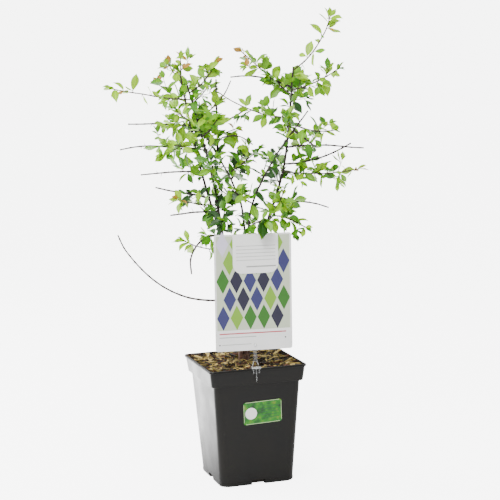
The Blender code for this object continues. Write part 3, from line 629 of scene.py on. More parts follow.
def leaf_group():
    """A leaf's rib and side veins, from its own map: across it by U and along it by V."""
    group, given, out = new_group(
        "leaf_veins",
        (("Rib width", "NodeSocketFloat", RIB_WIDTH), ("Vein pairs", "NodeSocketFloat", VEIN_PAIRS)),
        (("Mask", "NodeSocketFloat"), ("Height", "NodeSocketFloat")),
    )
    place = add_node(group, "ShaderNodeUVMap", uv_map="leaf_map").outputs["UV"]
    split = add_node(group, "ShaderNodeSeparateXYZ", {"Vector": place})
    reach = calculated(group, "ABSOLUTE", calculated(group, "SUBTRACT", split.outputs["X"], 0.5))
    rib = calculated(group, "LESS_THAN", reach, given.outputs["Rib width"])
    slant = calculated(group, "SUBTRACT", split.outputs["Y"], reach)
    saw = calculated(group, "FRACT", scaled(group, slant, given.outputs["Vein pairs"]))
    vein = scaled(group, calculated(group, "LESS_THAN", saw, VEIN_SHARE), VEIN_STRENGTH)
    mask = calculated(group, "MAXIMUM", rib, vein)
    group.links.new(mask, out.inputs["Mask"])
    group.links.new(calculated(group, "SUBTRACT", 1.0, mask), out.inputs["Height"])
    return group


def mottle(tree, colour, other, patches, grain):
    """The mottle group placed in a material, with its two colours and the scales of its patches and grain."""
    return add_node(tree, "ShaderNodeGroup",
                    {"Colour": colour, "Other": other, "Patches": patches, "Grain": grain}, node_tree=MOTTLE)


def plain_material(name, roughness, **values):
    """A material with one Principled shader, its constant values on the shader's own sockets."""
    material = bpy.data.materials.new(name)
    material.use_nodes = True
    shader = material.node_tree.nodes["Principled BSDF"]
    shader.inputs["Roughness"].default_value = roughness
    for key, value in values.items():
        shader.inputs[key.replace("_", " ")].default_value = value
    return material, material.node_tree, shader


def bumped(tree, shader, height, strength, distance):
    """Feeds a height to the shader's normal."""
    bump = add_node(tree, "ShaderNodeBump", {"Height": height, "Strength": strength, "Distance": distance})
    tree.links.new(bump.outputs["Normal"], shader.inputs["Normal"])


def mottled_material(name, colour, other, roughness, patches, grain, strength, distance):
    """A material that varies between two colours, with a fine grain."""
    material, tree, shader = plain_material(name, roughness)
    tone = mottle(tree, linear(colour), linear(other), patches, grain)
    tree.links.new(tone.outputs["Colour"], shader.inputs["Base Color"])
    bumped(tree, shader, tone.outputs["Height"], strength, distance)
    return material


def leaf_material(name, code):
    """A leaf's finish: a soft sheen, uneven green, a paler rib and veins, and a paler underside."""
    material, tree, shader = plain_material(name, 0.42, Specular_IOR_Level=0.45)
    colour = linear(code)
    paler = tuple(min(1.0, c * LEAF_PALER + LEAF_LIFT) for c in colour[:3]) + (1.0,)
    darker = tuple(c * LEAF_DARKER for c in colour[:3]) + (1.0,)
    veins = add_node(tree, "ShaderNodeGroup", node_tree=VEINS)
    tone = mottle(tree, colour, darker, 45.0, 900.0)
    ribbed = mix_colours(tree, veins.outputs["Mask"], tone.outputs["Colour"], paler)
    back = add_node(tree, "ShaderNodeNewGeometry").outputs["Backfacing"]
    under = mix_colours(tree, scaled(tree, back, UNDERSIDE_PALER), ribbed, paler)
    tree.links.new(under, shader.inputs["Base Color"])
    bumped(tree, shader, veins.outputs["Height"], 0.35, 0.0004)
    return material


def bark_material(name, colour, other, pale):
    """Bark: mottled and finely grained, with pale lenticels."""
    material, tree, shader = plain_material(name, 0.62)
    tone = mottle(tree, linear(colour), linear(other), 150.0, 1400.0)
    place = add_node(tree, "ShaderNodeTexCoord").outputs["Object"]
    spots = add_node(tree, "ShaderNodeTexVoronoi", {"Vector": place, "Scale": LENTICEL_SCALE})
    spot = calculated(tree, "LESS_THAN", spots.outputs["Distance"], LENTICEL_SIZE)
    lenticel = scaled(tree, spot, LENTICEL_STRENGTH)
    spotted = mix_colours(tree, lenticel, tone.outputs["Colour"], linear(pale))
    tree.links.new(spotted, shader.inputs["Base Color"])
    bumped(tree, shader, tone.outputs["Height"], 0.7, 0.0006)
    return material


def sticker_material():
    """The sticker's printed ground: soft patches of green."""
    material, tree, shader = plain_material("sticker_print", 0.30)
    place = add_node(tree, "ShaderNodeTexCoord").outputs["Object"]
    clouds = add_node(tree, "ShaderNodeTexNoise", {"Vector": place, "Scale": 95.0, "Detail": 5.0})
    greens = ((0.30, "04330a"), (0.45, "0d6005"), (0.56, "248003"), (0.72, "6d8312"))
    colour = ramp(tree, clouds.outputs["Fac"], [(at, linear(code)) for at, code in greens])
    tree.links.new(colour, shader.inputs["Base Color"])
    return material


def pot_material():
    """Charcoal plastic with a faint grain and an uneven sheen."""
    material, tree, shader = plain_material("charcoal_plastic", 0.34, Specular_IOR_Level=0.24)
    tone = mottle(tree, linear("121110"), linear("181613"), 22.0, 1500.0)
    tree.links.new(tone.outputs["Colour"], shader.inputs["Base Color"])
    rough = add_node(tree, "ShaderNodeMapRange",
                     {"Value": tone.outputs["Mask"], "To Min": 0.30, "To Max": 0.40})
    tree.links.new(rough.outputs["Result"], shader.inputs["Roughness"])
    bumped(tree, shader, tone.outputs["Height"], 0.10, 0.0003)
    return material


def facing(place, way):
    """The place and turn of a camera or light that looks along a direction."""
    return Matrix.Translation(place) @ way.to_track_quat("-Z", "Y").to_matrix().to_4x4()


def make_camera():
    """The camera at the photograph's place and angle."""
    data = bpy.data.cameras.new("camera")
    data.lens = CAMERA_LENS
    camera = bpy.data.objects.new("camera", data)
    bpy.context.scene.collection.objects.link(camera)
    level = math.cos(CAMERA_PITCH)
    forward = Vector((math.sin(CAMERA_YAW) * level, math.cos(CAMERA_YAW) * level, -math.sin(CAMERA_PITCH)))
    camera.matrix_world = facing(CAMERA_PLACE, forward) @ Matrix.Rotation(-CAMERA_ROLL, 4, "Z")
    bpy.context.scene.camera = camera


def add_light(name, place, target, size, power):
    """A square soft light that faces a point."""
    data = bpy.data.lights.new(name, "AREA")
    data.size = size
    data.energy = power
    light = bpy.data.objects.new(name, data)
    bpy.context.scene.collection.objects.link(light)
    light.matrix_world = facing(place, Vector(target) - Vector(place))


def seen_as(tree, strength, shown):
    """A strength that lights the scene, with another in its place for what the camera sees."""
    camera_ray = add_node(tree, "ShaderNodeLightPath").outputs["Is Camera Ray"]
    return add_node(tree, "ShaderNodeMix", {0: camera_ray, 2: strength, 3: shown}).outputs[0]


def make_sky():
    """The sky: it lights the plant more from behind than from the front, and shows as one even white."""
    world = bpy.data.worlds.new("studio")
    bpy.context.scene.world = world
    world.use_nodes = True
    tree = world.node_tree
    background = tree.nodes["Background"]
    background.inputs["Color"].default_value = (1, 1, 1, 1)
    way = add_node(tree, "ShaderNodeTexCoord").outputs["Generated"]
    depth = add_node(tree, "ShaderNodeSeparateXYZ", {"Vector": way}).outputs["Y"]
    turn_from, turn_to = SKY_TURN
    light = add_node(tree, "ShaderNodeMapRange", {"Value": depth, "From Min": turn_from, "From Max": turn_to,
                                                  "To Min": SKY_FRONT, "To Max": SKY_BEHIND})
    tree.links.new(seen_as(tree, light.outputs["Result"], SKY_SHOWN), background.inputs["Strength"])


def make_floor():
    """A pale floor that glows behind the pot and shows as one even white."""
    bpy.ops.mesh.primitive_plane_add(size=FLOOR_SIZE, location=(0, 0, -FLOOR_DROP))
    floor = bpy.context.active_object
    floor.name = "floor"
    material, tree, shader = plain_material("pale_floor", 0.8)
    shader.inputs["Base Color"].default_value = (FLOOR_TONE, FLOOR_TONE, FLOOR_TONE, 1)
    shader.inputs["Emission Color"].default_value = (1, 1, 1, 1)
    place = add_node(tree, "ShaderNodeTexCoord").outputs["Object"]
    centred = add_node(tree, "ShaderNodeMapping", {"Vector": place, "Location": -GLOW_MIDDLE / GLOW_RADIUS,
                                                   "Scale": Vector((1, 1, 1)) / GLOW_RADIUS})
    fall = add_node(tree, "ShaderNodeTexGradient", {"Vector": centred.outputs[0]}, gradient_type="SPHERICAL")
    glow = add_node(tree, "ShaderNodeMapRange",
                    {"Value": fall.outputs["Fac"], "From Max": GLOW_FULL, "To Max": FLOOR_GLOW})
    tree.links.new(seen_as(tree, glow.outputs["Result"], FLOOR_SHOWN), shader.inputs["Emission Strength"])
    floor.data.materials.append(material)
    floor.select_set(False)


def make_studio():
    """A white room: its sky, its floor, a key light in front and a broad light behind on the left."""
    make_sky()
    make_floor()
    for name, (place, target, size, power) in LIGHTS.items():
        add_light(name, place, target, size, power)


def shape_ring(mesh, old, new):
    """Moves the selected ring of a rounded square from one half width and corner to the next."""
    (old_half, old_corner), (half, corner, height) = old, new
    edited = bmesh.from_edit_mesh(mesh)
    for vertex in [v for v in edited.verts if v.select]:
        across = math.copysign(1, vertex.co.x)
        along = math.copysign(1, vertex.co.y)
        centre = Vector((across, along, 0)) * (old_half - old_corner)
        outward = Vector((vertex.co.x, vertex.co.y, 0)) - centre
        placed = Vector((across, along, 0)) * (half - corner) + outward.normalized() * corner
        vertex.co = placed + UP * height
    bmesh.update_edit_mesh(mesh)


def wall_half(height):
    """The half width of the pot's outer wall under the skirt."""
    return FOOT_HALF + (WALL_TOP_HALF - FOOT_HALF) * height / SHOULDER_HEIGHT


def corner_at(height):
    """The radius of the pot's corners at a height."""
    return FOOT_CORNER + (RIM_CORNER - FOOT_CORNER) * height / POT_HEIGHT


def pot_profile():
    """Half width, corner radius and height of each ring: up the outside, over the lip, down the inside."""
    lip_foot = POT_HEIGHT - LIP_HEIGHT
    bead_from, bead_to, bead_half, bead_gone = BEAD_HEIGHTS
    outside = [
        (FOOT_HALF - FOOT_BEAD / 2, FOOT_BEAD),
        (FOOT_HALF + FOOT_BEAD, bead_from),
        (wall_half(bead_to) + FOOT_BEAD, bead_to),
        (wall_half(bead_to + 2 * FOOT_BEAD) + FOOT_BEAD / 2, bead_half),
        (wall_half(bead_gone), bead_gone),
    ]
    outside += [(wall_half(height), height) for height in (*WALL_RINGS, SHOULDER_HEIGHT - LEDGE_FALL)]
    outside += [
        (WALL_TOP_HALF + SEAM_ROUND, SHOULDER_HEIGHT),
        (SKIRT_FOOT_HALF - EDGE_ROUND, SHOULDER_HEIGHT),
        (SKIRT_FOOT_HALF, SHOULDER_HEIGHT + EDGE_ROUND),
        (SKIRT_TOP_HALF - EDGE_ROUND, lip_foot - 4 * SEAM_ROUND),
        (SKIRT_TOP_HALF - SEAM_ROUND, lip_foot),
        (LIP_HALF - EDGE_ROUND, lip_foot + SEAM_ROUND / 4),
        (LIP_HALF, lip_foot + 2 * SEAM_ROUND),
        (LIP_HALF, POT_HEIGHT - LIP_ROUND),
        (LIP_HALF - SEAM_ROUND, POT_HEIGHT - LIP_ROUND / 4),
        (LIP_HALF - LIP_ROUND + SEAM_ROUND / 4, POT_HEIGHT),
    ]
    inside = [
        (LIP_HALF - LIP_WALL + SEAM_ROUND, POT_HEIGHT),
        (LIP_HALF - LIP_WALL, POT_HEIGHT - LIP_INNER_ROUND),
        (SKIRT_TOP_HALF - POT_WALL, lip_foot - LEDGE_FALL),
        (SKIRT_FOOT_HALF - POT_WALL, SHOULDER_HEIGHT + LEDGE_WALL + LEDGE_FALL),
        (WALL_TOP_HALF - POT_WALL, SHOULDER_HEIGHT + LEDGE_WALL),
        (wall_half(POT_FLOOR) - POT_WALL, POT_FLOOR),
    ]
    rings = [(half, corner_at(height), height) for half, height in outside]
    return rings + [(half, corner_at(height) - POT_WALL, height) for half, height in inside]


def drain_cutter(side):
    """The block that cuts one side's drain notch."""
    bpy.ops.mesh.primitive_cube_add(size=1)
    cutter = bpy.context.active_object
    size = Matrix.Diagonal((DRAIN_WIDTH, 2 * DRAIN_DEPTH, 2 * DRAIN_HEIGHT, 1))
    turn = Matrix.Rotation(math.radians(90 * side), 4, "Z")
    cutter.data.transform(turn @ Matrix.Translation((0, -FOOT_HALF, 0)) @ size)
    return cutter


def make_pot():
    """The pot, drawn up from a rounded square ring by ring, with a drain notch cut in each side."""
    half = FOOT_HALF - FOOT_INSET
    bpy.ops.mesh.primitive_plane_add(size=2 * half)
    pot = bpy.context.active_object
    bpy.ops.object.mode_set(mode="EDIT")
    bpy.ops.mesh.bevel(offset=FOOT_CORNER, segments=CORNER_SEGMENTS, affect="VERTICES")
    bpy.ops.mesh.select_all(action="SELECT")
    old = (half, FOOT_CORNER)
    for ring in pot_profile():
        bpy.ops.mesh.extrude_region_move(TRANSFORM_OT_translate={"value": (0, 0, RING_STEP)})
        shape_ring(pot.data, old, ring)
        old = ring[:2]
    bpy.ops.mesh.select_all(action="SELECT")
    bpy.ops.mesh.normals_make_consistent(inside=False)
    bpy.ops.object.mode_set(mode="OBJECT")
    deselect()
    cutters = [drain_cutter(side) for side in range(4)]
    for cutter in cutters:
        pot.modifiers.new("drain", "BOOLEAN").object = cutter
    apply_modifiers(pot)
    bpy.ops.object.shade_smooth_by_angle(angle=math.radians(POT_SMOOTH_ANGLE))
    for cutter in cutters:
        bpy.data.objects.remove(cutter, do_unlink=True)
    finish_piece(pot, "pot_shell", POT_PLASTIC, "pot_plastic", "pot")


def chip_shapes(rng):
    """A few chip shapes of unit size: a bevelled block, its points jittered, drawn in towards its ends."""
    shapes = []
    for _ in range(CHIP_SHAPE_COUNT):
        bpy.ops.mesh.primitive_cube_add(size=1)
        chip = bpy.context.active_object
        bpy.ops.object.mode_set(mode="EDIT")
        bpy.ops.mesh.bevel(offset=CHIP_BEVEL, segments=1)
        bpy.ops.object.mode_set(mode="OBJECT")
        points = np.array([vertex.co for vertex in chip.data.vertices])
        points += np.array([[rng.uniform(-CHIP_JITTER, CHIP_JITTER) for _ in range(3)] for _ in points])
        points[:, 1] *= 1 - CHIP_TAPER * np.abs(points[:, 0]) * rng.uniform(*CHIP_TAPER_SHARE)
        faces = [tuple(polygon.vertices) for polygon in chip.data.polygons]
        shapes.append((points, faces))
        bpy.data.objects.remove(chip, do_unlink=True)
    return shapes


class Heap:
    """Many small copies that end as one mesh, with their own map where they have one."""

    def __init__(self):
        self.points = []
        self.faces = []
        self.maps = []
        self.count = 0

    def add(self, points, faces, loops=None):
        """Adds one placed copy."""
        self.points.append(points)
        self.faces.extend([tuple(index + self.count for index in face) for face in faces])
        self.count += len(points)
        if loops is not None:
            self.maps.append(loops)

    def build(self, name, smooth=False):
        """The object that all copies make."""
        mesh = bpy.data.meshes.new(name)
        mesh.from_pydata(np.concatenate(self.points).tolist(), [], self.faces)
        if self.maps:
            layer = mesh.uv_layers.new(name="leaf_map")
            layer.data.foreach_set("uv", np.concatenate(self.maps).ravel())
        mesh.polygons.foreach_set("use_smooth", [smooth] * len(mesh.polygons))
        mesh.update()
        item = bpy.data.objects.new(name, mesh)
        bpy.context.scene.collection.objects.link(item)
        return item


def lay_chip(shapes, rng):
    """A chip's points and faces, laid at random on the mulch; nothing where the stool stands."""
    x, y = (rng.uniform(-1, 1) * MULCH_HALF for _ in range(2))
    if math.hypot(x, y) < STOOL_CLEAR:
        return None
    edge = max(abs(x), abs(y)) / MULCH_HALF
    length = rng.uniform(*CHIP_LENGTHS) * (EDGE_SHORTER if edge > EDGE_FROM else 1.0)
    width = rng.uniform(*(STRAW_WIDTHS if rng.random() < STRAW_SHARE else CHIP_WIDTHS))
    depth = rng.uniform(*CHIP_DEPTHS)
    height = MULCH_TOP - MULCH_FALL * edge + rng.uniform(*CHIP_RISE)
    turn = Matrix.Rotation(rng.uniform(0, math.tau), 3, "Z")
    pitch = Matrix.Rotation(rng.gauss(0, CHIP_PITCH), 3, "Y")
    roll = Matrix.Rotation(rng.gauss(0, CHIP_ROLL), 3, "X")
    points, faces = rng.choice(shapes)
    placed = points * (length, width, depth) @ np.array((turn @ (pitch @ roll)).transposed())
    placed += (x, y, height)
    limit = LIP_HALF - LIP_WALL - LIP_CLEAR
    placed[:, :2] = np.clip(placed[:, :2], -limit, limit)
    return placed, faces


def make_mulch():
    """Bark chips and straw, in several colours, lying over the dark layer that the frame holds."""
    rng = random.Random(MULCH_SEED)
    shapes = chip_shapes(rng)
    heaps = {kind: Heap() for kind in CHIP_KINDS}
    shares = [values[0] for values in CHIP_KINDS.values()]
    for _ in range(CHIP_COUNT):
        chip = lay_chip(shapes, rng)
        if chip:
            heaps[rng.choices(list(CHIP_KINDS), shares)[0]].add(*chip)
    for kind, (_, colour, other, roughness, patches, strength, distance) in CHIP_KINDS.items():
        finish = mottled_material(f"{kind}_chip", colour, other, roughness, patches, CHIP_GRAIN, strength,
                                  distance)
        finish_piece(heaps[kind].build(f"mulch_chips_{kind}"), f"mulch_chips_{kind}", finish, "mulch")
    ground = mottled_material("mulch_ground", "2c1f12", "4a3820", 0.95, 120.0, 700.0, 0.9, 0.0010)
    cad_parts["mulch"].data.materials[0] = ground
    soil = mottled_material("soil", "1a120b", "120c07", 0.95, 120.0, 700.0, 0.6, 0.0010)
    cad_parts["soil"].data.materials[0] = soil


def stem_foot(name):
    """The point on the stool where a stem starts."""
    angle = math.radians(STEM_FEET[name])
    return Vector((STEM_FOOT_RING * math.cos(angle), STEM_FOOT_RING * math.sin(angle), STOOL_TOP))


def smooth_line(points, steps, first=None):
    """Points on a smooth curve through some points, with so many steps to each span."""
    ends = [first or 2 * points[0] - points[1], *points, 2 * points[-1] - points[-2]]
    line = []
    for before, start, end, after in zip(ends, ends[1:], ends[2:], ends[3:]):
        leaving, arriving = (end - before) / 2, (after - start) / 2
        for step in range(steps):
            t = step / steps
            line.append((2 * t ** 3 - 3 * t ** 2 + 1) * start + (t ** 3 - 2 * t ** 2 + t) * leaving
                        + (3 * t ** 2 - 2 * t ** 3) * end + (t ** 3 - t ** 2) * arriving)
    return line + [points[-1]]


def stem_line(name):
    """A stem's line in the frame: smooth through its points and upright at its foot."""
    _, knots = STEMS[name]
    foot = stem_foot(name) + UP * (FORK_LENGTH + GAP)
    points = [foot + UP * STEM_UPRIGHT] + [Vector((x, y, height)) for height, x, y in knots]
    below = points[1] - UP * FOOT_PULL * (points[1] - points[0]).length
    return [foot] + smooth_line(points, STEM_STEPS, first=below)


def stem_radius(name, height):
    """A stem's radius at a height: it tapers evenly from foot to tip."""
    (foot_radius, tip_radius), knots = STEMS[name]
    share = (height - STOOL_TOP) / (knots[-1][0] - STOOL_TOP)
    return foot_radius + (tip_radius - foot_radius) * share


def aim(heading, rise):
    """The unit vector along a heading, anticlockwise from +X, and up by a rise, in degrees."""
    turn, lift = math.radians(heading), math.radians(rise)
    return Vector((math.cos(lift) * math.cos(turn), math.cos(lift) * math.sin(turn), math.sin(lift)))


def grow_line(start, heading, rise, length, bend, rng, step=TWIG_STEP):
    """The points of a twig: it bends evenly along its length and wavers at each step."""
    count = max(2, round(length / step))
    line = [start]
    for number in range(count):
        turn = heading + rng.uniform(-TWIG_WAVER, TWIG_WAVER)
        lift = rise + bend * (number + 0.5) / count + rng.uniform(-TWIG_WAVER, TWIG_WAVER) / 2
        line.append(line[-1] + aim(turn, lift) * length / count)
    return line


def point_along(line, share):
    """The point and the direction at a share of a line's length."""
    lengths = [(end - start).length for start, end in zip(line, line[1:])]
    left = share * sum(lengths)
    for start, end, length in zip(line, line[1:], lengths):
        if left <= length:
            break
        left -= length
    way = (end - start).normalized()
    return start + way * min(left, length), way


def square_to(way, turn):
    """A unit vector square to a direction, turned about it from its upper side, in degrees."""
    side = way.cross(UP)
    side = side.normalized() if side.length > 0.1 else Vector((1, 0, 0))
    upper = side.cross(way).normalized()
    return upper * math.cos(math.radians(turn)) + side * math.sin(math.radians(turn))


def lean_from(way, turn, spread):
    """A direction that leaves another at a spread, in degrees."""
    angle = math.radians(spread)
    return (way * math.cos(angle) + square_to(way, turn) * math.sin(angle)).normalized()


def new_limbs(name, sides):
    """An empty curve object that limbs are drawn on as round tapering tubes."""
    curve = bpy.data.curves.new(name, "CURVE")
    curve.dimensions = "3D"
    curve.use_fill_caps = True
    curve.bevel_depth = 1.0
    curve.bevel_resolution = sides // 2 - 2
    item = bpy.data.objects.new(name, curve)
    bpy.context.scene.collection.objects.link(item)
    return item


def draw_limb(item, points, radii):
    """Adds one tapering limb."""
    spline = item.data.splines.new("POLY")
    spline.points.add(len(points) - 1)
    for knot, point, radius in zip(spline.points, points, radii):
        knot.co = (*point, 1)
        knot.radius = radius


def made_mesh(item):
    """Turns a curve object into a smooth mesh, with its caps welded on, and leaves it picked."""
    pick(item)
    bpy.ops.object.convert(target="MESH")
    bpy.ops.object.mode_set(mode="EDIT")
    bpy.ops.mesh.select_all(action="SELECT")
    bpy.ops.mesh.remove_doubles(threshold=WELD)
    bpy.ops.mesh.normals_make_consistent(inside=False)
    bpy.ops.object.mode_set(mode="OBJECT")
    bpy.ops.object.shade_smooth()


def relieve(item, size, strength):
    """Raises a limb's bark by a cloudy relief of a size and height."""
    texture = bpy.data.textures.new(item.name, "CLOUDS")
    texture.noise_scale = size
    texture.noise_depth = RELIEF_DETAIL
    modifier = item.modifiers.new("relief", "DISPLACE")
    modifier.texture = texture
    modifier.texture_coords = "LOCAL"
    modifier.strength = strength
    modifier.mid_level = 0.5
    apply_modifiers(item)


def wandered(point):
    """A point of a stem's line, moved aside a little by a slow noise."""
    place = point * WANDER_SCALE
    return point + Vector((noise.noise(place), noise.noise(place + UP * WANDER_APART), 0)) * WANDER


def make_stems():
    """The stems: nodes swell along them, and their bark has relief; each ends in its cut."""
    rng = random.Random(STEM_SEED)
    for name, line in LINES.items():
        item = new_limbs(name.replace("stem", "bark"), STEM_SIDES)
        fine = smooth_line(line, STEM_SMOOTH)
        radii = []
        phase = rng.uniform(0, 10)
        for point in fine:
            swell = max(0.0, math.sin(point.z * NODE_WAVES + phase)) ** NODE_SHARPNESS
            radii.append(stem_radius(name, point.z) * (STEM_SHARE + NODE_SWELL * swell))
        draw_limb(item, [wandered(point) for point in fine], radii)
        made_mesh(item)
        relieve(item, *BARK_RELIEF)
        bark = GREY_BARK if name == "stem_middle" else DARK_BARK
        finish_piece(item, name.replace("stem", "bark"), bark, "bark", name)


def make_stool():
    """The stool: a knotty foot with root flare, fused to the foot of each stem."""
    item = new_limbs("bark_stool", STEM_SIDES)
    draw_limb(item, [UP * height for height, _ in STOOL_RINGS], [radius for _, radius in STOOL_RINGS])
    for lobe in range(ROOT_LOBES):
        way = aim(360 * lobe / ROOT_LOBES, 0)
        draw_limb(item, [way * out + UP * height for out, height, _ in ROOT_RINGS],
                  [radius for _, _, radius in ROOT_RINGS])
    for name in STEMS:
        foot = stem_foot(name)
        radius = stem_radius(name, STOOL_TOP)
        stub = [foot * STUB_DRAWN_IN - UP * STUB_DEPTH, foot, foot + UP * (FORK_LENGTH + GAP + STUB_LAP)]
        draw_limb(item, stub, [radius * swell for swell in STUB_SWELLS])
    made_mesh(item)
    fuse = item.modifiers.new("fuse", "REMESH")
    fuse.mode = "VOXEL"
    fuse.voxel_size = FUSE_SIZE
    item.modifiers.new("ease", "SMOOTH").iterations = FUSE_EASE
    apply_modifiers(item)
    bpy.ops.object.shade_smooth()
    relieve(item, *STOOL_RELIEF)
    finish_piece(item, "bark_stool", STOOL_BARK, "bark", "trunk")


def leaf_shape(fold, droop):
    """One leaf of unit length: a grid drawn in to a toothed blade, folded along its rib and drooping."""
    bpy.ops.mesh.primitive_grid_add(x_subdivisions=LEAF_COLUMNS, y_subdivisions=LEAF_STATIONS, size=1)
    leaf = bpy.context.active_object
    points = np.array([vertex.co for vertex in leaf.data.vertices])
    across, along = points[:, 0] * 2, points[:, 1] + 0.5
    body = np.clip((along - LEAF_STALK) / (1 - LEAF_STALK), 0, 1)
    at_foot, more_at_tip = LEAF_FULLNESS
    half = np.sin(math.pi * body ** LEAF_BROADEST) ** (at_foot + more_at_tip * body) * LEAF_WIDTH / 2
    half = np.maximum(half, LEAF_STALK_HALF)
    station = np.round(along * LEAF_STATIONS)
    tooth = np.where((np.abs(across) > LEAF_EDGE) & (station % 2 == 1), 1 + LEAF_TOOTH, 1.0)
    x = across * half * tooth
    wave = LEAF_WAVE * np.sin(along * LEAF_WAVES) * np.abs(across)
    z = np.abs(across) * half * fold - droop * along ** 2 + wave
    y = along * (1 - FOLD_SHORTENS * abs(fold) * along)
    faces = [tuple(polygon.vertices) for polygon in leaf.data.polygons]
    loops = np.array([item.uv for item in leaf.data.uv_layers[0].data])
    bpy.data.objects.remove(leaf, do_unlink=True)
    return np.stack([x, y, z], axis=1), faces, loops


def place_leaf(root, way, roll, length, tint, rng):
    """Adds a leaf from its root along a direction, its upper side towards the sky and rolled a little."""
    upper = square_to(way, roll)
    side = way.cross(upper).normalized()
    turn = np.array((side, way, upper))
    points, faces, loops = rng.choice(LEAVES)
    LEAF_HEAPS[tint].add((points * length) @ turn + np.array(root), faces, loops)


def pick_tint(spec, rng, at_tip):
    """A leaf's tint, from its spray's shares; some sprays' tips are bronze or young."""
    if at_tip and spec in BRONZE_AT_TIP:
        return "bronze" if rng.random() < BRONZE_AT_TIP[spec] else "young"
    shares = TINTS[spec]
    return rng.choices([tint for tint, _ in shares], [share for _, share in shares])[0]


def leafy_spur(twigs, point, way, turn, tint, rng, count, at_tip=False, reach=1.0):
    """A short spur that ends in a bud and carries a few leaves."""
    spur_way = lean_from(way, turn, rng.uniform(*SPUR_SPREAD))
    length = rng.uniform(*SPUR_LENGTH) * reach
    end = point + spur_way * length
    draw_limb(twigs, [point, end, end + spur_way * SPUR_BUD], SPUR_RADII)
    for number in range(count):
        leaf_way = lean_from(spur_way, turn + SPIRAL * number, rng.uniform(*SPUR_LEAF_SPREAD))
        size = rng.uniform(*LEAF_LENGTH) * (LAST_LEAF_SMALLER if number == count - 1 else 1.0) * reach
        root = point.lerp(end, 0.5 + 0.5 * number / count)
        picked = pick_tint(tint, rng, at_tip)
        shrink = BRONZE_SMALLER if picked == "bronze" else 1.0
        place_leaf(root, leaf_way, rng.uniform(-LEAF_ROLL, LEAF_ROLL), size * shrink, picked, rng)


def dress_line(twigs, line, first, last, tint, rng, spacing=SPUR_SPACING, reach=1.0):
    """Spurs with leaves along a stretch of a twig, and small leaves close together at a leafy tip."""
    length = sum((end - start).length for start, end in zip(line, line[1:]))
    count = max(1, round((last - first) * length / spacing))
    phase = rng.uniform(0, 360)
    kind = "sparse" if tint == "sparse" else "leafy"
    for number in range(count):
        share = first + (last - first) * (number + SPUR_OFFSET) / count
        point, way = point_along(line, min(share, LAST_SPUR))
        near_tip = last == 1.0 and share > NEAR_TIP
        leaves = rng.choice(SPUR_COUNTS[kind, near_tip])
        smaller = TIP_SPUR_SMALLER if near_tip else 1.0
        leafy_spur(twigs, point, way, phase + SPIRAL * number, tint, rng, leaves, near_tip, reach * smaller)
    if last == 1.0:
        point, way = point_along(line, TIP_AT)
        first_spread, spread_step = TIP_LEAF_SPREAD
        for number in range(TIP_LEAVES):
            leaf_way = lean_from(way, phase + SPIRAL * number, first_spread + spread_step * number)
            place_leaf(point, leaf_way, rng.uniform(-TIP_LEAF_ROLL, TIP_LEAF_ROLL),
                       rng.uniform(*TIP_LEAF_LENGTH), pick_tint(tint, rng, True), rng)
    if kind == "sparse":
        for number, share in enumerate(CLUSTER_AT):
            point, way = point_along(line, share)
            leaf_way = lean_from(way, phase + SPIRAL * number, rng.uniform(*CLUSTER_SPREAD))
            place_leaf(point, leaf_way, rng.uniform(-TIP_LEAF_ROLL, TIP_LEAF_ROLL),
                       rng.uniform(*CLUSTER_LENGTH), "young", rng)


def spray_start(stem, height, way, radius):
    """Where a spray leaves its stem, and the point inside the stem that its visible foot is sunk to."""
    line = LINES[stem]
    for lower, upper in zip(line, line[1:]):
        if upper.z >= height:
            break
    share = (height - lower.z) / (upper.z - lower.z)
    middle = lower.lerp(upper, share)
    cosine = abs(way.dot((upper - lower).normalized()))
    sine = math.sqrt(1 - cosine ** 2)
    return middle + way * (stem_radius(stem, height) + GAP + radius * cosine) / sine, middle


def add_thorns(twigs, line, first, rng, spacing):
    """Short side shoots that end in a spine, and the buds at their feet."""
    length = sum((end - start).length for start, end in zip(line, line[1:]))
    phase = rng.uniform(0, 360)
    for number in range(int(length * (1 - first) / spacing)):
        share = first + (1 - first) * (number + rng.uniform(*BUD_SHIFT)) * spacing / length
        if share > LAST_BUD:
            break
        point, way = point_along(line, share)
        turn = phase + SPIRAL * number
        bud_way = lean_from(way, turn, BUD_SPREAD)
        draw_limb(twigs, [point, *(point + bud_way * reach for reach in BUD_LINE)], BUD_RADII)
        if rng.random() < THORN_SHARE:
            thorn = lean_from(way, turn + THORN_TURN, rng.uniform(*THORN_SPREAD))
            reach = rng.uniform(*THORN_LENGTH)
            draw_limb(twigs, [point, point + thorn * reach * 0.5, point + thorn * reach], THORN_RADII)


def draw_twig(twigs, line, radius, tip_radius):
    """A twig along a smooth curve, swollen a little at each node."""
    fine = smooth_line(line, TWIG_SMOOTH)
    last = len(fine) - 1
    radii = []
    for number in range(last + 1):
        swell = TWIG_NODE_SWELL if number % TWIG_NODE_STEPS == 0 else 1.0
        radii.append((radius + (tip_radius - radius) * number / last) * swell)
    draw_limb(twigs, fine, radii)


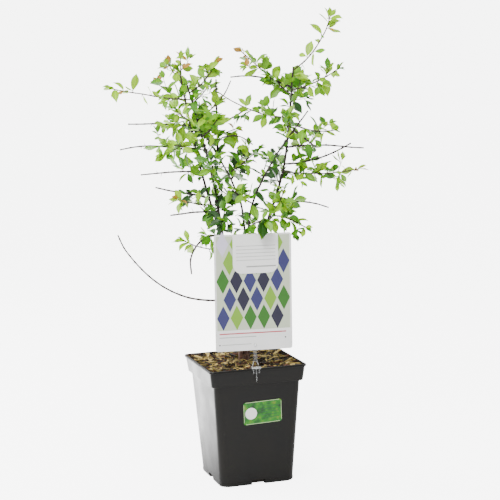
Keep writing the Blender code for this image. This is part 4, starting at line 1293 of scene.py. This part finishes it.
def add_side_twigs(twigs, line, count, first, last, tint, rng):
    """Short leafy twigs that leave a spray's main twig in a spiral."""
    phase = rng.uniform(0, 360)
    tint = "young" if tint == "bronze_tip" else tint
    for number in range(count):
        share = first + (min(last, SIDE_TWIG_END) - first) * (number + SIDE_TWIG_OFFSET) / count
        point, way = point_along(line, share)
        side_way = lean_from(way, phase + SPIRAL * number, rng.uniform(*SIDE_TWIG_SPREAD))
        heading = math.degrees(math.atan2(side_way.y, side_way.x))
        rise = math.degrees(math.asin(side_way.z))
        length = rng.uniform(*SIDE_TWIG_LENGTH)
        side_line = grow_line(point, heading, rise, length, SIDE_TWIG_BEND, rng, SIDE_TWIG_STEP)
        draw_twig(twigs, side_line, SIDE_TWIG_RADIUS, SIDE_TWIG_TIP_RADIUS)
        dress_line(twigs, side_line, SIDE_LEAFY_FROM, 1.0, tint, rng, SIDE_SPUR_SPACING, SIDE_REACH)


def hang_leaves(line, rng):
    """Large leaves that hang from a spray's tip in front of the card."""
    for share in HANGING_AT:
        point, _ = point_along(line, share)
        hanging = aim(rng.uniform(*HANGING_HEADING), rng.uniform(*HANGING_FALL))
        place_leaf(point, hanging, rng.uniform(-HANGING_ROLL, HANGING_ROLL), rng.uniform(*HANGING_LENGTH),
                   rng.choice(HANGING_TINTS), rng)


def grow_spray(twigs, kind, spray, rng):
    """One spray: its main twig, thorns, buds, spurs, side twigs and leaves."""
    stem, height, heading, rise, length, bend, first, last, tint = spray
    radius = FRAME_TWIG_RADIUS * (FRAME_BARE_SHARE if tint == "bare" else 1.0)
    start, middle = spray_start(stem, height, aim(heading, rise), radius)
    line = grow_line(start, heading, rise, length, bend, rng)
    thicker = BARE_THICKER if kind == "bare" else 1.0
    draw_twig(twigs, [middle, *line], TWIG_RADIUS * thicker, TWIG_TIP_RADIUS * thicker)
    add_thorns(twigs, line, last if last < 1.0 else LEAFY_BUDS_FROM, rng, TWIG_BUD_SPACING)
    if tint == "bare":
        return
    sparse = tint == "sparse"
    dress_line(twigs, line, first, last, tint, rng, SPARSE_SPACING if sparse else SPUR_SPACING)
    count = 0 if sparse else round(length * (last - first) / SIDE_TWIG_SPACING)
    add_side_twigs(twigs, line, count, first, last, tint, rng)
    if (stem, height) == OVER_CARD:
        hang_leaves(line, rng)


def dress_stem(twigs, name, rng):
    """Spurs, thorns and buds that grow on a stem itself."""
    line = LINES[name]
    top = STEMS[name][1][-1][0]
    height = STEM_SPUR_FROM
    turn = rng.uniform(0, 360)
    while height < top - STEM_SPUR_BELOW:
        share = (height - line[0].z) / (line[-1].z - line[0].z)
        point, way = point_along(line, share)
        tint = "deep" if height < DEEP_BELOW else "mid" if height < MID_BELOW else "light"
        leafy_spur(twigs, point, way, turn, tint, rng, rng.choice(STEM_SPUR_COUNTS), reach=SIDE_REACH)
        height += rng.uniform(*STEM_SPUR_SPACING)
        turn += SPIRAL
    add_thorns(twigs, line, STEM_BUDS_FROM, rng, STEM_BUD_SPACING)


def make_sprays():
    """The sprays and the stems' own spurs: for each stem a piece of leafy twigs and one of bare twigs."""
    twigs = {}
    nodes = {}
    for number, spray in enumerate(SPRAYS):
        stem, _, _, _, length, _, _, last, tint = spray
        side = stem.replace("stem_", "")
        kind = "bare" if tint == "bare" or last < BARE_BEYOND and length > BARE_LENGTH else "leafy"
        if (side, kind) not in twigs:
            twigs[side, kind] = new_limbs(f"twigs_{kind}_{side}", TWIG_SIDES)
        names = nodes.setdefault(side, [])
        names.append(f"spray_{side}_{len(names) + 1}")
        grow_spray(twigs[side, kind], kind, spray, random.Random(SPRAY_SEED + number))
    rng = random.Random(SPUR_SEED)
    for name in LINES:
        dress_stem(twigs[name.replace("stem_", ""), "leafy"], name, rng)
    for (side, kind), item in twigs.items():
        made_mesh(item)
        stands_for = nodes[side] if kind == "leafy" else ()
        bark = DARK_BARK if kind == "bare" else TWIG_BARK
        finish_piece(item, f"twigs_{kind}_{side}", bark, "bark", *stands_for)


def make_leaves():
    """The joined leaves, one piece for each tint."""
    for tint, heap in LEAF_HEAPS.items():
        finish = leaf_material(f"leaf_{tint}", LEAF_COLOURS[tint])
        finish_piece(heap.build(f"leaves_{tint}", smooth=True), f"leaves_{tint}", finish, "foliage")


def card_place():
    """The card's place: turned a little and leaning to the right."""
    turn = Matrix.Rotation(math.radians(CARD_TURN), 4, "Z")
    lean = Matrix.Rotation(math.radians(CARD_LEAN), 4, "Y")
    return Matrix.Translation(CARD_MIDDLE) @ turn @ lean


def print_shapes(name, outlines, place, front, colour, slot, thickness=PRINT_THICKNESS):
    """Flat printed shapes, from outlines of (across, up) points, laid on a face at its front."""
    mesh = bpy.data.meshes.new(name)
    points, faces = [], []
    for outline in outlines:
        faces.append(tuple(range(len(points), len(points) + len(outline))))
        points.extend((across, front, up) for across, up in outline)
    mesh.from_pydata(points, [], faces)
    mesh.transform(place)
    item = bpy.data.objects.new(name, mesh)
    bpy.context.scene.collection.objects.link(item)
    modifier = item.modifiers.new("thick", "SOLIDIFY")
    modifier.thickness = thickness
    modifier.offset = 0
    apply_modifiers(item)
    ink, _, shader = plain_material(name, PRINT_ROUGHNESS)
    shader.inputs["Base Color"].default_value = linear(colour)
    finish_piece(item, name, ink, slot)


def diamond(across, up, width, height):
    """A diamond about a point."""
    half, reach = width / 2, height / 2
    return ((across - half, up), (across, up - reach), (across + half, up), (across, up + reach))


def bar(left, right, up, breadth):
    """A level bar."""
    half = breadth / 2
    return ((left, up - half), (right, up - half), (right, up + half), (left, up + half))


def disc(across, up, radius):
    """A round shape."""
    angles = [math.tau * side / DISC_SIDES for side in range(DISC_SIDES)]
    return tuple((across + radius * math.cos(angle), up + radius * math.sin(angle)) for angle in angles)


def flap_outline():
    """The flap's outline: square at the top, its lower corners well rounded."""
    left, right = FLAP_SIDES
    level = FLAP_FOOT + FLAP_CORNER
    points = [(left, FLAP_TOP)]
    for centre, start in ((left + FLAP_CORNER, 180), (right - FLAP_CORNER, 270)):
        for step in range(FLAP_CORNER_STEPS + 1):
            angle = math.radians(start + 90 / FLAP_CORNER_STEPS * step)
            points.append((centre + FLAP_CORNER * math.cos(angle), level + FLAP_CORNER * math.sin(angle)))
    return tuple(points + [(right, FLAP_TOP)])


def dealt_diamonds():
    """The pattern's diamonds, in rows set half a step apart, dealt out by colour."""
    dealt = {name: [] for name in DIAMOND_COLOURS}
    for row in range(DIAMOND_ROWS):
        for column in range(DIAMOND_COLUMNS):
            step = (column + 0.5 * (row % 2)) / (DIAMOND_COLUMNS - 0.5)
            across = -DIAMOND_REACH + 2 * DIAMOND_REACH * step
            turn = (column * 2 + row * 3) % len(DIAMOND_TURNS)
            at_top = row == DIAMOND_ROWS - 1
            name = TOP_ROW_TURNS[turn % 2] if at_top else DIAMOND_TURNS[turn]
            dealt[name].append(diamond(across, DIAMOND_FOOT + DIAMOND_RISE * row, *DIAMOND_SIZE))
    return dealt


def make_card():
    """The card's paper, its pattern of diamonds, its flap, and plain rules on both."""
    place = card_place()
    front = -CARD_THICKNESS / 2 - PRINT_THICKNESS / 2
    paper = mottled_material("card_paper", "f2f2f0", "ebebe9", 0.32, 30.0, 900.0, 0.03, 0.0002)
    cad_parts["label_card"].data.materials[0] = paper
    ground = [bar(-PATTERN_HALF, PATTERN_HALF, PATTERN_MIDDLE, PATTERN_HEIGHT)]
    print_shapes("card_picture_ground", ground, place, front, "bfc8b0", "card", PRINT_THICKNESS / 2)
    for name, shapes in dealt_diamonds().items():
        print_shapes(f"card_diamonds_{name}", shapes, place, front, DIAMOND_COLOURS[name], "card")
    print_shapes("card_flap", [flap_outline()], place, front - FLAP_LIFT, "f4f4f2", "card", FLAP_THICKNESS)
    on_flap = front - FLAP_PRINT_LIFT
    print_shapes("card_flap_rules", [bar(*rule) for rule in FLAP_RULES], place, on_flap, "b9bab6", "card")
    print_shapes("card_flap_mark", [bar(*FLAP_SHORT_RULE)], place, on_flap, "9a9c98", "card")
    print_shapes("card_red_rule", [bar(*RED_RULE)], place, front, "b8434a", "card")
    print_shapes("card_grey_rules", [bar(*rule) for rule in GREY_RULES], place, front, "a9aaa6", "card")
    print_shapes("card_dots", [disc(*dot, DOT_RADIUS) for dot in DOTS], place, front, "3a3a3a", "card")


def sticker_rim():
    """The four lines of the sticker's rim, each ending before the corner."""
    half_wide, half_tall = (size / 2 for size in STICKER_SIZE)
    end_across, end_up = half_wide - RIM_END, half_tall - RIM_END
    outer, inner = half_wide - RIM_OUTER, half_wide - RIM_INNER
    lines = [bar(-end_across, end_across, side * (half_tall - RIM_MIDDLE), RIM_BREADTH) for side in (-1, 1)]
    for side in (-1, 1):
        near, far = side * inner, side * outer
        lines.append(((near, -end_up), (far, -end_up), (far, end_up), (near, end_up)))
    return lines


def make_sticker():
    """The sticker's ground, a pale rim, a plain white disc and plain rules."""
    slope = math.atan((WALL_TOP_HALF - FOOT_HALF) / SHOULDER_HEIGHT)
    off_wall = (GAP + STICKER_THICKNESS / 2) / math.cos(slope)
    place = (Matrix.Translation((STICKER_X, -wall_half(STICKER_HEIGHT) - off_wall, STICKER_HEIGHT))
             @ Matrix.Rotation(slope, 4, "X") @ Matrix.Rotation(-math.radians(STICKER_TURN), 4, "Y"))
    front = -STICKER_THICKNESS / 2 - PRINT_THICKNESS / 4
    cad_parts["pot_sticker"].data.materials[0] = sticker_material()
    print_shapes("sticker_rim", sticker_rim(), place, front, "b9cf9a", "sticker")
    print_shapes("sticker_disc", [disc(*STICKER_DISC)], place, front, "f3f4ef", "sticker")
    print_shapes("sticker_rules", [bar(*rule) for rule in STICKER_RULES], place, front, "1c5a24", "sticker")


def make_holder():
    """The clear holder's finish."""
    material, _, shader = plain_material("clear_holder", 0.04, IOR=1.49, Transmission_Weight=1.0)
    shader.inputs["Base Color"].default_value = (0.90, 0.92, 0.92, 1)
    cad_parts["label_holder"].data.materials[0] = material


MOTTLE = mottle_group()
VEINS = leaf_group()
POT_PLASTIC = pot_material()
DARK_BARK = bark_material("dark_bark", "2e201a", "1a110d", "6f6254")
GREY_BARK = bark_material("grey_bark", "4c423d", "372e2b", "8a8076")
TWIG_BARK = bark_material("twig_bark", "32221b", "413020", "75634c")
STOOL_BARK = bark_material("stool_bark", "63412f", "3c271c", "8a735c")

make_camera()
make_studio()
make_pot()
make_mulch()
LINES = {name: stem_line(name) for name in STEMS}
make_stems()
make_stool()
LEAVES = [leaf_shape(fold, droop) for fold, droop in LEAF_KINDS]
LEAF_HEAPS = {tint: Heap() for tint in LEAF_COLOURS}
make_sprays()
make_leaves()
make_card()
make_sticker()
make_holder()
